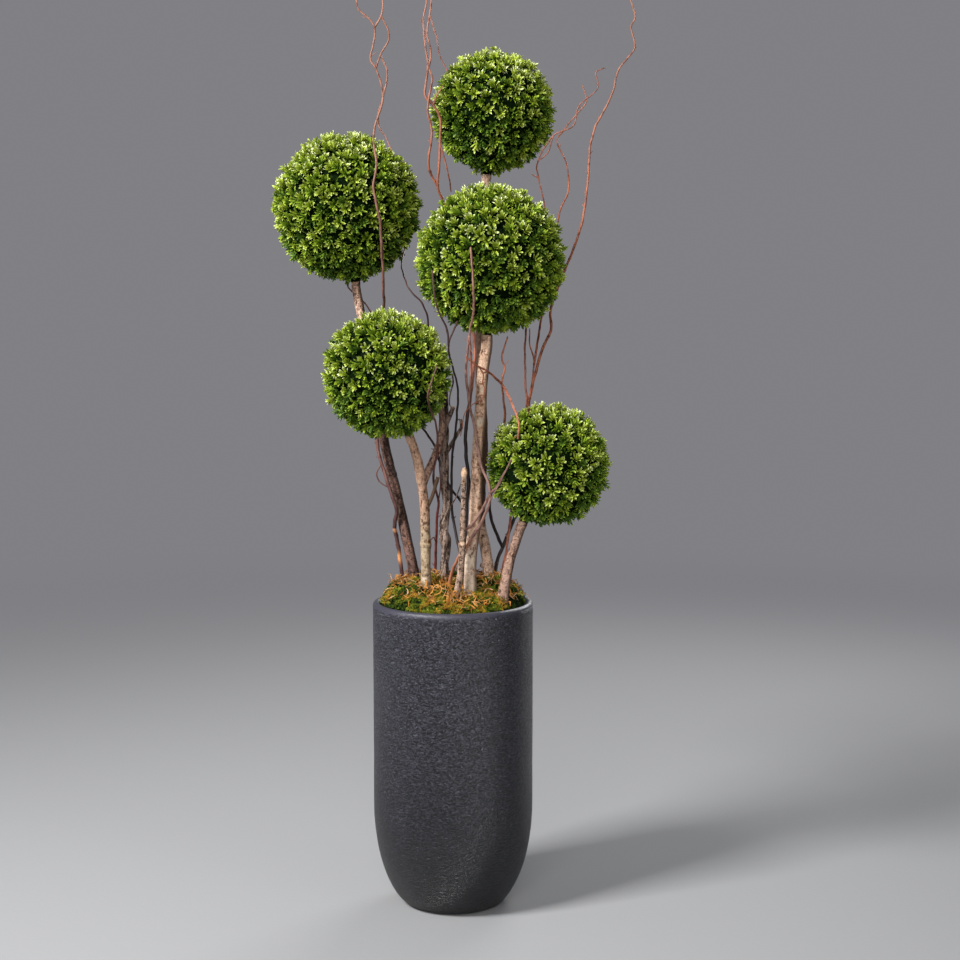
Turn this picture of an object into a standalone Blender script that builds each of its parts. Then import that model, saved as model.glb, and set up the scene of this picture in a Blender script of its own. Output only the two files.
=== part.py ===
"""Artificial topiary of five clipped boxwood balls on bare poles, with curly willow twigs,
planted in moss in a tall round planter. Metres, +Z up, origin at the middle of the planter's
flat underside. The front of the plant faces -Y.
"""

import math
import random
from collections import namedtuple

import bmesh
import bpy
from mathutils import Matrix, Vector, noise

# Gap kept between two pieces that touch, and a wider one for the holes in the moss,
# because a hole with four flat sides is narrower across its flats.
CLEAR = 0.0003
HOLE_CLEAR = 0.0005

# Planter: a tall round tub with a rounded bottom and a rolled lip.
POT_RADIUS = 0.200
POT_HEIGHT = 0.768
POT_FOOT_RADIUS = 0.113
POT_WALL = 0.020
POT_FLOOR = 0.030
POT_LIP = 0.009
POT_ROUNDING_HEIGHT = 0.250
POT_ROUNDING_POWER = 1.25
POT_SIDES = 36
OUTER_STEPS = 5
INNER_STEPS = 3
LIP_STEPS = 4

# Filling that anchors the poles, and the mound of moss that covers it.
FILL_TOP = 0.745
FOOT = FILL_TOP + CLEAR
MOSS_RADIUS = POT_RADIUS - POT_WALL - 0.0015
MOSS_EDGE = POT_HEIGHT - 0.003
MOSS_RISE = 0.050
MOSS_MIDDLE_SHARE = 0.9
MOSS_SHARE_PER_METRE = 4.0
MOSS_STEEPNESS = 10
MOSS_LUMP = 0.008
MOSS_LUMPS_PER_METRE = 22
MOSS_SIDES = 20
MOSS_RINGS = (0.0, 0.3, 0.6, 0.85, 0.95, 1.0)
MOSS_HOLE_TOP = 0.875

# Balls: a core that the leaves stand out of, a neck that meets the pole, and leaves.
CORE_SHARE = 0.91
NECK_LENGTH = 0.010
NECK_SUNK_TO = 0.8
NECK_SIDES = 8
LEAVES_PER_BALL = 70
LEAF_REACH = (0.97, 1.01)
LEAF_JITTER = 0.12
LEAF_WIDTH = 0.046
LEAF_THICKNESS = 0.014
LEAF_SUNK = 0.022
LEAF_WIDEST = 0.22
LEAF_TILT = math.radians(34)
LEAF_SPARE = 0.003

# Limbs: the spacing of their rings, their sides, and the swelling at a pole's foot.
POLE_STEP = 0.070
TWIG_STEP = 0.036
POLE_SIDES = 8
STEM_SIDES = 6
TWIG_SIDES = 4
FLARE = 0.30
FLARE_HEIGHT = 0.030
SMOOTH_BELOW = math.radians(40)

BARK_TAN = ((0.42, 0.31, 0.21), 0.75)
BARK_BROWN = ((0.24, 0.18, 0.14), 0.80)
BARK_DARK = ((0.10, 0.075, 0.06), 0.85)
BARK_RED = ((0.46, 0.19, 0.11), 0.60)
BARK_DUSK = ((0.17, 0.08, 0.06), 0.65)
LEAF_GREEN = ((0.12, 0.26, 0.04), 0.45)
POT_CHARCOAL = ((0.035, 0.036, 0.039), 0.55)
FILL_GREY = ((0.35, 0.34, 0.32), 0.90)
MOSS_GREEN = ((0.13, 0.20, 0.03), 0.90)

Limb = namedtuple("Limb", "name finish sides radii route forks facing", defaults=(None,))
Ball = namedtuple("Ball", "name centre radius pole")

# Each route runs from the foot, or from the limb that carries it, to the tip. The radii
# are those of the two ends. A fork starts at a point of a route it is joined to.
POLES = (
    Limb("trunk_top", BARK_TAN, POLE_SIDES, (0.0135, 0.0115), (
        (0.092, 0.085, FOOT), (0.090, 0.090, 0.815), (0.080, 0.102, 0.890),
        (0.068, 0.114, 0.950), (0.069, 0.124, 1.030), (0.075, 0.140, 1.120),
        (0.073, 0.146, 1.225), (0.068, 0.155, 1.400), (0.080, 0.170, 1.770)), ()),
    Limb("trunk_upper_left", BARK_BROWN, POLE_SIDES, (0.0135, 0.0110), (
        (-0.080, 0.040, FOOT), (-0.095, 0.050, 0.812), (-0.143, 0.081, 1.025),
        (-0.176, 0.112, 1.160), (-0.205, 0.130, 1.325), (-0.240, 0.120, 1.520)), ()),
    Limb("trunk_middle", BARK_TAN, POLE_SIDES, (0.0155, 0.0135), (
        (0.044, -0.055, FOOT), (0.044, -0.060, 0.800), (0.044, -0.060, 0.880),
        (0.055, -0.060, 0.980), (0.063, -0.056, 1.150), (0.070, -0.055, 1.265),
        (0.075, -0.050, 1.345), (0.083, -0.050, 1.400)), ()),
    Limb("trunk_lower_left", BARK_TAN, POLE_SIDES, (0.0130, 0.0110), (
        (-0.068, -0.015, FOOT), (-0.067, -0.021, 0.830), (-0.069, -0.028, 0.995),
        (-0.079, -0.042, 1.090), (-0.093, -0.053, 1.150)), (
            ((0.0050, 0.0040), ((-0.069, -0.028, 0.995), (-0.050, -0.034, 1.035),
                                (-0.036, -0.040, 1.083))),)),
    Limb("trunk_lower_right", BARK_TAN, POLE_SIDES, (0.0125, 0.0115), (
        (0.122, -0.083, FOOT), (0.125, -0.080, 0.795), (0.142, -0.070, 0.881),
        (0.165, -0.053, 0.952)), ()),
    Limb("vine_stem", BARK_DARK, STEM_SIDES, (0.0125, 0.0100), (
        (-0.018, 0.045, FOOT), (-0.023, 0.045, 0.845), (-0.018, 0.045, 0.897),
        (-0.023, 0.045, 0.950), (-0.015, 0.045, 1.003), (-0.020, 0.045, 1.056),
        (-0.021, 0.045, 1.127), (-0.020, 0.045, 1.197), (-0.022, 0.058, 1.300)), (
            ((0.0060, 0.0055), ((-0.020, 0.045, 1.197), (0.001, 0.020, 1.250))),
            ((0.0014, 0.0019), ((-0.001, 0.020, 1.247), (-0.008, 0.017, 1.259),
                                (-0.006, 0.014, 1.284), (0.001, 0.012, 1.311),
                                (-0.001, 0.012, 1.334))),
            ((0.0055, 0.0035), ((-0.021, 0.045, 1.127), (0.010, 0.030, 1.181),
                                (0.021, 0.030, 1.200), (0.019, 0.030, 1.220))),
            ((0.0022, 0.0014), ((-0.023, 0.045, 0.950), (-0.015, 0.020, 0.983),
                                (-0.002, 0.003, 1.010), (0.009, 0.000, 1.030),
                                (0.020, 0.004, 1.061))))),
    Limb("cut_stem", BARK_BROWN, STEM_SIDES, (0.0088, 0.0058), (
        (-0.006, -0.086, FOOT), (0.007, -0.088, 0.790), (0.015, -0.089, 0.822),
        (0.020, -0.090, 0.855), (0.024, -0.090, 0.916),
        (0.029, -0.090, 1.105)), ()),
)

# This limb starts inside the pole that carries it and is then cut clear of it.
BOUGH = Limb("bough_lower_left", BARK_TAN, STEM_SIDES, (0.0100, 0.0075), (
    (-0.075, -0.037, 1.060), (-0.056, -0.030, 1.106), (-0.041, -0.020, 1.140),
    (-0.030, -0.008, 1.174), (-0.026, 0.003, 1.218), (-0.030, 0.012, 1.262)), ())

TWIGS = (
    Limb("willow_left", BARK_RED, TWIG_SIDES, (0.0060, 0.0018), (
        (-0.120, 0.060, FOOT), (-0.134, 0.060, 0.860), (-0.147, 0.055, 0.950),
        (-0.142, 0.049, 0.990), (-0.160, 0.055, 1.045), (-0.180, 0.067, 1.107),
        (-0.191, 0.082, 1.165),
        (-0.184, 0.094, 1.300), (-0.172, 0.072, 1.425), (-0.168, -0.030, 1.555),
        (-0.174, -0.061, 1.700), (-0.189, -0.059, 1.785), (-0.183, -0.046, 1.840),
        (-0.190, -0.012, 1.920), (-0.168, 0.000, 2.005), (-0.185, 0.000, 2.074),
        (-0.198, 0.000, 2.098),
        (-0.187, 0.000, 2.172), (-0.229, 0.000, 2.222), (-0.227, 0.010, 2.300),
        (-0.243, 0.012, 2.350)), (
            ((0.0026, 0.0016), ((-0.187, 0.000, 2.172), (-0.171, 0.000, 2.200),
                                (-0.167, 0.000, 2.236), (-0.177, 0.006, 2.275),
                                (-0.164, 0.010, 2.325))),
            ((0.0024, 0.0024), ((-0.171, 0.000, 2.200), (-0.153, 0.010, 2.150),
                                (-0.174, 0.010, 2.107), (-0.185, 0.000, 2.074))),
            ((0.0026, 0.0022), ((-0.168, 0.000, 2.005), (-0.158, 0.010, 2.062),
                                (-0.174, 0.010, 2.107))),
            ((0.0028, 0.0016), ((-0.168, 0.000, 2.005), (-0.182, 0.018, 1.950),
                                (-0.157, 0.000, 1.899), (-0.148, -0.010, 1.878))),
            ((0.0020, 0.0020), ((-0.180, 0.067, 1.107), (-0.192, 0.060, 1.080),
                                (-0.185, 0.058, 1.060), (-0.160, 0.055, 1.045))),
            ((0.0030, 0.0024), ((-0.184, 0.094, 1.300), (-0.190, 0.115, 1.400),
                                (-0.207, 0.138, 1.479), (-0.235, 0.154, 1.517),
                                (-0.262, 0.150, 1.541), (-0.268, 0.143, 1.553))))),
    Limb("willow_centre", BARK_RED, TWIG_SIDES, (0.0056, 0.0034), (
        (0.024, 0.000, FOOT), (0.030, 0.004, 0.890), (0.034, 0.014, 1.004),
        (0.039, 0.019, 1.065), (0.031, 0.030, 1.156), (0.035, 0.040, 1.217),
        (0.050, 0.062, 1.330),
        (0.050, 0.105, 1.440), (0.004, 0.142, 1.617), (-0.020, 0.105, 1.745),
        (-0.037, 0.085, 1.794), (-0.034, 0.075, 1.843), (-0.031, 0.070, 1.900),
        (-0.031, 0.065, 1.961), (-0.048, 0.055, 1.992), (-0.057, 0.053, 2.004)), (
            ((0.0034, 0.0014), ((-0.048, 0.055, 1.992), (-0.040, 0.053, 2.012),
                                (-0.023, 0.050, 2.037))),
            ((0.0034, 0.0016), ((-0.048, 0.055, 1.992), (-0.067, 0.050, 2.017),
                                (-0.060, 0.050, 2.085), (-0.066, 0.050, 2.131),
                                (-0.071, 0.050, 2.194), (-0.063, 0.050, 2.244),
                                (-0.074, 0.048, 2.300), (-0.061, 0.046, 2.350),
                                (-0.070, 0.045, 2.405))),
            ((0.0036, 0.0016), ((-0.037, 0.085, 1.794), (-0.060, 0.070, 1.845),
                                (-0.051, 0.057, 1.930), (-0.061, 0.050, 1.980),
                                (-0.050, 0.040, 2.051), (-0.057, 0.040, 2.082),
                                (-0.052, 0.040, 2.115), (-0.061, 0.040, 2.164),
                                (-0.055, 0.040, 2.207), (-0.050, 0.038, 2.260),
                                (-0.060, 0.036, 2.315), (-0.047, 0.034, 2.370))),
            ((0.0022, 0.0016), ((-0.055, 0.040, 2.207), (-0.038, 0.040, 2.150),
                                (-0.032, 0.050, 2.115), (-0.011, 0.060, 2.071))),
            ((0.0026, 0.0018), ((-0.031, 0.070, 1.900), (-0.012, 0.078, 1.830),
                                (-0.005, 0.115, 1.785))),
            ((0.0040, 0.0018), ((0.034, 0.014, 1.004), (0.018, 0.030, 1.016),
                                (-0.005, 0.062, 1.043), (-0.026, 0.072, 1.084),
                                (-0.045, 0.068, 1.148), (-0.065, 0.066, 1.180),
                                (-0.082, 0.074, 1.210), (-0.091, 0.092, 1.300),
                                (-0.070, 0.065, 1.403), (-0.060, 0.028, 1.460),
                                (-0.074, 0.012, 1.505), (-0.108, 0.025, 1.545),
                                (-0.128, 0.090, 1.600), (-0.119, 0.185, 1.655),
                                (-0.090, 0.195, 1.715))))),
    Limb("willow_front", BARK_RED, TWIG_SIDES, (0.0048, 0.0026), (
        (-0.007, -0.008, FOOT), (-0.006, -0.016, 0.825), (0.012, -0.050, 0.880),
        (0.043, -0.085, 0.930), (0.075, -0.097, 0.986), (0.093, -0.110, 1.050),
        (0.069, -0.092, 1.125), (0.060, -0.087, 1.178), (0.041, -0.087, 1.275),
        (0.034, -0.102, 1.348), (0.042, -0.130, 1.433), (0.052, -0.192, 1.494),
        (0.052, -0.236, 1.552), (0.046, -0.249, 1.638)), (
            ((0.0030, 0.0026), ((0.042, -0.130, 1.433), (0.046, -0.112, 1.370),
                                (0.041, -0.087, 1.275))),
            ((0.0040, 0.0042), ((0.093, -0.110, 1.050), (0.068, -0.094, 1.000),
                                (0.042, -0.084, 0.966), (0.023, -0.066, 0.949))),
            ((0.0042, 0.0022), ((0.093, -0.110, 1.050), (0.111, -0.132, 1.073),
                                (0.142, -0.166, 1.137))),
            ((0.0015, 0.0012), ((0.137, -0.161, 1.127), (0.123, -0.157, 1.095),
                                (0.106, -0.142, 1.062), (0.090, -0.124, 1.028),
                                (0.074, -0.110, 0.988), (0.053, -0.102, 0.955),
                                (0.038, -0.098, 0.927))))),
    Limb("willow_middle", BARK_DUSK, TWIG_SIDES, (0.0046, 0.0024), (
        (0.017, -0.024, FOOT), (0.020, -0.023, 0.870), (0.007, -0.004, 0.938),
        (-0.003, 0.020, 1.004), (-0.003, 0.022, 1.069), (-0.002, 0.018, 1.119),
        (0.009, -0.004, 1.220),
        (0.013, -0.030, 1.300), (0.002, -0.062, 1.349), (-0.008, -0.096, 1.406),
        (0.013, -0.124, 1.465)), (
            ((0.0030, 0.0022), ((-0.008, -0.096, 1.406), (-0.012, -0.112, 1.447),
                                (-0.036, -0.138, 1.505), (-0.045, -0.182, 1.585))),)),
    Limb("willow_low_left", BARK_DUSK, TWIG_SIDES, (0.0044, 0.0020), (
        (-0.048, 0.100, FOOT), (-0.046, 0.092, 0.840), (-0.043, 0.060, 0.905),
        (-0.039, 0.014, 0.980), (-0.036, 0.000, 1.020), (-0.047, -0.028, 1.080),
        (-0.036, -0.070, 1.155), (-0.038, -0.106, 1.212), (-0.050, -0.172, 1.258),
        (-0.056, -0.200, 1.292), (-0.035, -0.198, 1.360)), (
            ((0.0020, 0.0016), ((-0.036, 0.000, 1.020), (-0.030, 0.011, 1.060),
                                (-0.033, 0.010, 1.108), (-0.028, 0.012, 1.150))),
            ((0.0018, 0.0014), ((-0.043, 0.060, 0.905), (-0.049, 0.030, 0.923),
                                (-0.055, 0.005, 0.920))))),
    Limb("willow_far_right", BARK_RED, TWIG_SIDES, (0.0054, 0.0017), (
        (0.110, 0.118, FOOT), (0.108, 0.121, 0.835), (0.125, 0.123, 0.885),
        (0.158, 0.134, 0.967), (0.170, 0.146, 1.050), (0.187, 0.140, 1.200),
        (0.191, 0.130, 1.251), (0.203, 0.115, 1.312), (0.224, 0.100, 1.390),
        (0.246, 0.100, 1.440), (0.248, 0.110, 1.500), (0.292, 0.080, 1.622),
        (0.318, 0.050, 1.700), (0.333, 0.050, 1.800), (0.343, 0.050, 1.915),
        (0.390, 0.050, 2.013), (0.408, 0.050, 2.078), (0.446, 0.050, 2.129),
        (0.437, 0.050, 2.177), (0.446, 0.050, 2.208), (0.430, 0.050, 2.270),
        (0.441, 0.050, 2.345)), (
            ((0.0032, 0.0016), ((0.191, 0.130, 1.251), (0.204, 0.121, 1.351),
                                (0.193, 0.105, 1.402), (0.192, 0.095, 1.442))),
            ((0.0034, 0.0016), ((0.204, 0.121, 1.351), (0.221, 0.145, 1.451),
                                (0.240, 0.155, 1.564), (0.266, 0.122, 1.725),
                                (0.288, 0.100, 1.785), (0.283, 0.100, 1.850),
                                (0.260, 0.100, 1.905), (0.277, 0.110, 1.936),
                                (0.304, 0.112, 1.970), (0.332, 0.110, 2.005),
                                (0.322, 0.110, 2.044))),
            ((0.0048, 0.0022), ((0.125, 0.123, 0.885), (0.098, 0.086, 0.956),
                                (0.092, 0.074, 1.020), (0.104, 0.078, 1.088),
                                (0.113, 0.062, 1.152), (0.129, 0.018, 1.224),
                                (0.121, -0.050, 1.312), (0.127, -0.040, 1.348),
                                (0.121, -0.030, 1.377), (0.135, -0.042, 1.426))),
            ((0.0036, 0.0026), ((0.121, -0.050, 1.312), (0.089, -0.102, 1.343),
                                (0.060, -0.127, 1.362), (0.034, -0.140, 1.381))),
            ((0.0017, 0.0012), ((0.065, -0.121, 1.358), (0.076, -0.108, 1.337),
                                (0.075, -0.098, 1.317), (0.080, -0.092, 1.302),
                                (0.072, -0.080, 1.277), (0.053, -0.073, 1.266),
                                (0.033, -0.060, 1.248), (0.026, -0.042, 1.221),
                                (0.020, -0.030, 1.183))),
            ((0.0036, 0.0024), ((0.121, -0.050, 1.312), (0.135, -0.080, 1.289),
                                (0.160, -0.147, 1.225), (0.158, -0.164, 1.188))))),
    Limb("willow_right", BARK_RED, TWIG_SIDES, (0.0042, 0.0016), (
        (0.122, 0.082, FOOT), (0.121, 0.084, 0.806), (0.131, 0.090, 0.862),
        (0.146, 0.108, 0.965), (0.152, 0.116, 1.029), (0.175, 0.118, 1.183),
        (0.186, 0.107, 1.247), (0.182, 0.104, 1.310), (0.183, 0.120, 1.430),
        (0.200, 0.165, 1.565), (0.222, 0.160, 1.690), (0.230, 0.140, 1.745),
        (0.214, 0.115, 1.818), (0.211, 0.098, 1.858), (0.249, 0.082, 1.919),
        (0.298, 0.080, 1.943), (0.311, 0.080, 1.990), (0.358, 0.080, 2.036),
        (0.352, 0.080, 2.072), (0.373, 0.080, 2.084)), (
            ((0.0020, 0.0016), ((0.214, 0.115, 1.818), (0.198, 0.115, 1.826))),
            ((0.0020, 0.0016), ((0.249, 0.082, 1.919), (0.236, 0.086, 1.880),
                                (0.211, 0.098, 1.858))))),
)

BALLS = (
    Ball("ball_top", (0.100, 0.170, 1.985), 0.161, "trunk_top"),
    Ball("ball_upper_left", (-0.267, 0.120, 1.744), 0.192, "trunk_upper_left"),
    Ball("ball_middle", (0.093, -0.050, 1.612), 0.188, "trunk_middle"),
    Ball("ball_lower_left", (-0.158, -0.080, 1.337), 0.162, "trunk_lower_left"),
    Ball("ball_lower_right", (0.236, -0.030, 1.111), 0.158, "trunk_lower_right"),
)


def clear_scene():
    for thing in list(bpy.data.objects):
        bpy.data.objects.remove(thing, do_unlink=True)


def material(name, finish):
    """A plain opaque finish: base colour and roughness."""
    colour, roughness = finish
    made = bpy.data.materials.new(name)
    made.use_nodes = True
    shader = made.node_tree.nodes["Principled BSDF"]
    shader.inputs["Base Color"].default_value = (*colour, 1.0)
    shader.inputs["Roughness"].default_value = roughness
    shader.inputs["Metallic"].default_value = 0.0
    return made


def new_object(name, mesh, collection=None):
    """Turns a bmesh into an object with its faces pointing out."""
    bmesh.ops.recalc_face_normals(mesh, faces=mesh.faces)
    data = bpy.data.meshes.new(name)
    mesh.to_mesh(data)
    mesh.free()
    made = bpy.data.objects.new(name, data)
    (collection or bpy.context.scene.collection).objects.link(made)
    return made


def finish_object(piece, finish, smooth=False):
    piece.data.materials.clear()
    piece.data.materials.append(material(piece.name, finish))
    if smooth:
        piece.data.shade_smooth()
        piece.data.set_sharp_from_angle(angle=SMOOTH_BELOW)


def apply_modifiers(piece):
    """Replaces a piece's mesh by what its modifiers make of it."""
    graph = bpy.context.evaluated_depsgraph_get()
    made = bpy.data.meshes.new_from_object(piece.evaluated_get(graph))
    piece.modifiers.clear()
    piece.data = made


def boolean(piece, others, operation, solver="EXACT"):
    """One Boolean of a piece with a collection of other objects, which are then removed."""
    helpers = bpy.data.collections.new("helpers")
    bpy.context.scene.collection.children.link(helpers)
    for other in others:
        for holder in list(other.users_collection):
            holder.objects.unlink(other)
        helpers.objects.link(other)
    change = piece.modifiers.new("join", "BOOLEAN")
    change.operation = operation
    change.operand_type = "COLLECTION"
    change.collection = helpers
    change.solver = solver
    apply_modifiers(piece)
    for other in list(helpers.objects):
        bpy.data.objects.remove(other, do_unlink=True)
    bpy.data.collections.remove(helpers)


def turned(profile, sides):
    """A closed shape turned round Z from (radius, height) points that start and end on the axis."""
    mesh = bmesh.new()
    points = [mesh.verts.new((radius, 0.0, height)) for radius, height in profile]
    edges = [mesh.edges.new(pair) for pair in zip(points, points[1:])]
    bmesh.ops.spin(mesh, geom=points + edges, cent=(0, 0, 0), axis=(0, 0, 1),
                   angle=math.tau, steps=sides, use_merge=True, use_duplicate=False)
    bmesh.ops.remove_doubles(mesh, verts=mesh.verts, dist=1e-5)
    bmesh.ops.dissolve_degenerate(mesh, edges=mesh.edges, dist=1e-6)
    return mesh


def rounded_bottom(foot, side, low, steps):
    """Points of the planter's bottom curve, from the foot's edge up to the straight side."""
    points = []
    for step in range(steps + 1):
        turn = math.pi / 2 * step / steps
        points.append((foot + (side - foot) * math.sin(turn) ** POT_ROUNDING_POWER,
                       low + (POT_ROUNDING_HEIGHT - low) * (1 - math.cos(turn))))
    return points


def inner_curve():
    """Points of the bottom curve on the inside of the planter's wall."""
    return rounded_bottom(POT_FOOT_RADIUS - POT_WALL / 2, POT_RADIUS - POT_WALL, POT_FLOOR,
                          INNER_STEPS)


def make_pot():
    outer = rounded_bottom(POT_FOOT_RADIUS, POT_RADIUS, 0.0, OUTER_STEPS)
    middle = POT_RADIUS - POT_WALL / 2
    lip = [(middle + POT_WALL / 2 * math.cos(turn), POT_HEIGHT - POT_LIP + POT_LIP * math.sin(turn))
           for turn in (math.pi * step / LIP_STEPS for step in range(LIP_STEPS + 1))]
    profile = [(0.0, 0.0), *outer, *lip, *reversed(inner_curve()), (0.0, POT_FLOOR)]
    pot = new_object("pot", turned(profile, POT_SIDES))
    finish_object(pot, POT_CHARCOAL, smooth=True)


def make_fill():
    side = [(radius - CLEAR, height + CLEAR) for radius, height in inner_curve()]
    profile = [(0.0, POT_FLOOR + CLEAR), *side, (POT_RADIUS - POT_WALL - CLEAR, FILL_TOP),
               (0.0, FILL_TOP)]
    fill = new_object("planting_fill", turned(profile, POT_SIDES))
    finish_object(fill, FILL_GREY)


def moss_height(x, y):
    """Height of the moss: a mound that falls off at the wall and slopes down to the front."""
    edge = (math.hypot(x, y) / MOSS_RADIUS) ** MOSS_STEEPNESS
    share = min(1.0, MOSS_MIDDLE_SHARE + MOSS_SHARE_PER_METRE * y)
    lumps = MOSS_LUMP * noise.noise(Vector((x, y, 0.0)) * MOSS_LUMPS_PER_METRE)
    return MOSS_EDGE + (MOSS_RISE * share + lumps) * (1 - edge)


def make_moss(limbs):
    top = [(MOSS_RADIUS * ring, MOSS_EDGE) for ring in MOSS_RINGS]
    mesh = turned([*top, (MOSS_RADIUS, FOOT), (0.0, FOOT)], MOSS_SIDES)
    for point in mesh.verts:
        if point.co.z > FOOT + CLEAR:
            point.co.z = moss_height(point.co.x, point.co.y)
    moss = new_object("moss_bed", mesh)
    holes = [limb_tube(limb, limb.radii, limb.route, HOLE_CLEAR, MOSS_HOLE_TOP)
             for limb in limbs]
    boolean(moss, holes, "DIFFERENCE")
    finish_object(moss, MOSS_GREEN)


def smooth_route(points, step):
    """Points along a smooth curve through the given ones."""
    knots = [Vector(point) for point in points]
    knots = [2 * knots[0] - knots[1], *knots, 2 * knots[-1] - knots[-2]]
    made = [knots[1]]
    for before, start, end, after in zip(knots, knots[1:], knots[2:], knots[3:]):
        length = (end - start).length
        count = max(1, round(length / step))
        for part in range(1, count + 1):
            t = part / count
            made.append(0.5 * (2 * start + (end - before) * t
                               + (2 * before - 5 * start + 4 * end - after) * t ** 2
                               + (3 * start - before - 3 * end + after) * t ** 3))
    return made


def ring_places(route, first, last):
    """The place of each ring along a route, each turned as little as may be from the last.

    The first and last ring can be given a direction of their own.
    """
    tangents = [(after - before).normalized()
                for before, after in zip([route[0], *route], [*route[1:], route[-1]])]
    tangents[0] = first or tangents[0]
    tangents[-1] = last or tangents[-1]
    turn = tangents[0].to_track_quat("Z", "Y")
    places = []
    facing = tangents[0]
    for point, tangent in zip(route, tangents):
        turn = facing.rotation_difference(tangent) @ turn
        facing = tangent
        places.append(Matrix.Translation(point) @ turn.to_matrix().to_4x4())
    return places


def tube(name, route, widths, sides, first=None, last=None):
    """A closed tapering tube: a capped circle that is extruded ring by ring."""
    places = [place @ Matrix.Scale(width, 4)
              for place, width in zip(ring_places(route, first, last), widths)]
    mesh = bmesh.new()
    bmesh.ops.create_circle(mesh, cap_ends=True, radius=1.0, segments=sides, matrix=places[0])
    cap = mesh.faces[:][0]
    for before, after in zip(places, places[1:]):
        grown = bmesh.ops.extrude_face_region(mesh, geom=[cap, *cap.edges])["geom"]
        cap = next(item for item in grown if isinstance(item, bmesh.types.BMFace))
        bmesh.ops.transform(mesh, matrix=after @ before.inverted(), verts=cap.verts)
    return new_object(name, mesh)


def limb_rings(limb, radii, route):
    """The points along a limb and its radius at each."""
    points = smooth_route(route, TWIG_STEP if limb.sides == TWIG_SIDES else POLE_STEP)
    along = [0.0]
    for start, end in zip(points, points[1:]):
        along.append(along[-1] + (end - start).length)
    root, tip = radii
    widths = []
    for distance in along:
        width = root + (tip - root) * distance / along[-1]
        if limb.sides == POLE_SIDES and route is limb.route:
            above = distance - (MOSS_EDGE - FOOT)
            width *= 1 + FLARE * math.exp(-max(above, 0.0) / FLARE_HEIGHT)
        widths.append(width)
    return points, widths


def limb_tube(limb, radii, route, grow=0.0, top=None):
    """One stretch of a limb as a tube. A hole or a seat is the same tube, grown a little."""
    points, widths = limb_rings(limb, radii, route)
    sides = limb.sides if route is limb.route else TWIG_SIDES
    first = Vector((0, 0, 1)) if route[0][2] == FOOT else None
    last = limb.facing if route is limb.route else None
    if top is not None:
        last = None
        count = sum(point.z < top for point in points) + 1
        points, widths = points[:count], widths[:count]
        points = [points[0] - Vector((0, 0, POT_LIP)), *points]
        widths = [widths[0], *widths]
    widths = [width + grow for width in widths]
    return tube(limb.name, points, widths, sides, first, last)


def make_limb(limb):
    """A limb and its forks, joined into one solid."""
    body = limb_tube(limb, limb.radii, limb.route)
    forks = [limb_tube(limb, radii, route) for radii, route in limb.forks]
    if forks:
        boolean(body, forks, "UNION")
    finish_object(body, limb.finish, smooth=True)
    return body


def cut_clear(piece, carrier):
    """Cuts the end of a piece that starts inside another limb, so that it sits on its side."""
    seat = limb_tube(carrier, carrier.radii, carrier.route, HOLE_CLEAR)
    boolean(piece, [seat], "DIFFERENCE")
    keep_largest(piece)


def keep_largest(piece):
    """Drops the scrap that a cut leaves on the far side."""
    mesh = bmesh.new()
    mesh.from_mesh(piece.data)
    left = set(mesh.verts)
    groups = []
    while left:
        group, reach = set(), [left.pop()]
        while reach:
            point = reach.pop()
            group.add(point)
            for edge in point.link_edges:
                other = edge.other_vert(point)
                if other in left:
                    left.remove(other)
                    reach.append(other)
        groups.append(group)
    groups.sort(key=len)
    for group in groups[:-1]:
        bmesh.ops.delete(mesh, geom=list(group), context="VERTS")
    mesh.to_mesh(piece.data)
    mesh.free()


def to_ball(pole, ball):
    """The pole with its route led on to the ball's neck, and the direction of that neck."""
    centre = Vector(ball.centre)
    down = (Vector(pole.route[-1]) - centre).normalized()
    tip = centre + down * (ball.radius * CORE_SHARE + NECK_LENGTH + CLEAR)
    return pole._replace(route=(*pole.route, tuple(tip)), facing=-down), down


def spread_directions(count, rng):
    """Directions spread evenly over a sphere, each moved a little."""
    for index in range(count):
        height = 1 - (2 * index + 1) / count
        angle = index * math.pi * (3 - math.sqrt(5)) + rng.uniform(-LEAF_JITTER, LEAF_JITTER)
        across = math.sqrt(1 - height * height)
        yield Vector((across * math.cos(angle), across * math.sin(angle), height))


def leaf(place, length):
    """A blade of eight faces that is widest near its tip."""
    mesh = bmesh.new()
    bmesh.ops.create_uvsphere(mesh, u_segments=4, v_segments=2, radius=0.5)
    bmesh.ops.scale(mesh, vec=(LEAF_WIDTH, LEAF_THICKNESS, length), verts=mesh.verts)
    middle = [point for point in mesh.verts if abs(point.co.z) < length / 4]
    bmesh.ops.translate(mesh, vec=(0, 0, length * LEAF_WIDEST), verts=middle)
    bmesh.ops.transform(mesh, matrix=place, verts=mesh.verts)
    return new_object("leaf", mesh)


def too_near(start, end, limb_points):
    """Whether a leaf from start to end would touch a limb."""
    for point, width in limb_points:
        along = (point - start).dot(end - start) / (end - start).length_squared
        nearest = start + (end - start) * min(max(along, 0.0), 1.0)
        if (point - nearest).length < width + LEAF_WIDTH / 2 + LEAF_SPARE:
            return True
    return False


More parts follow.
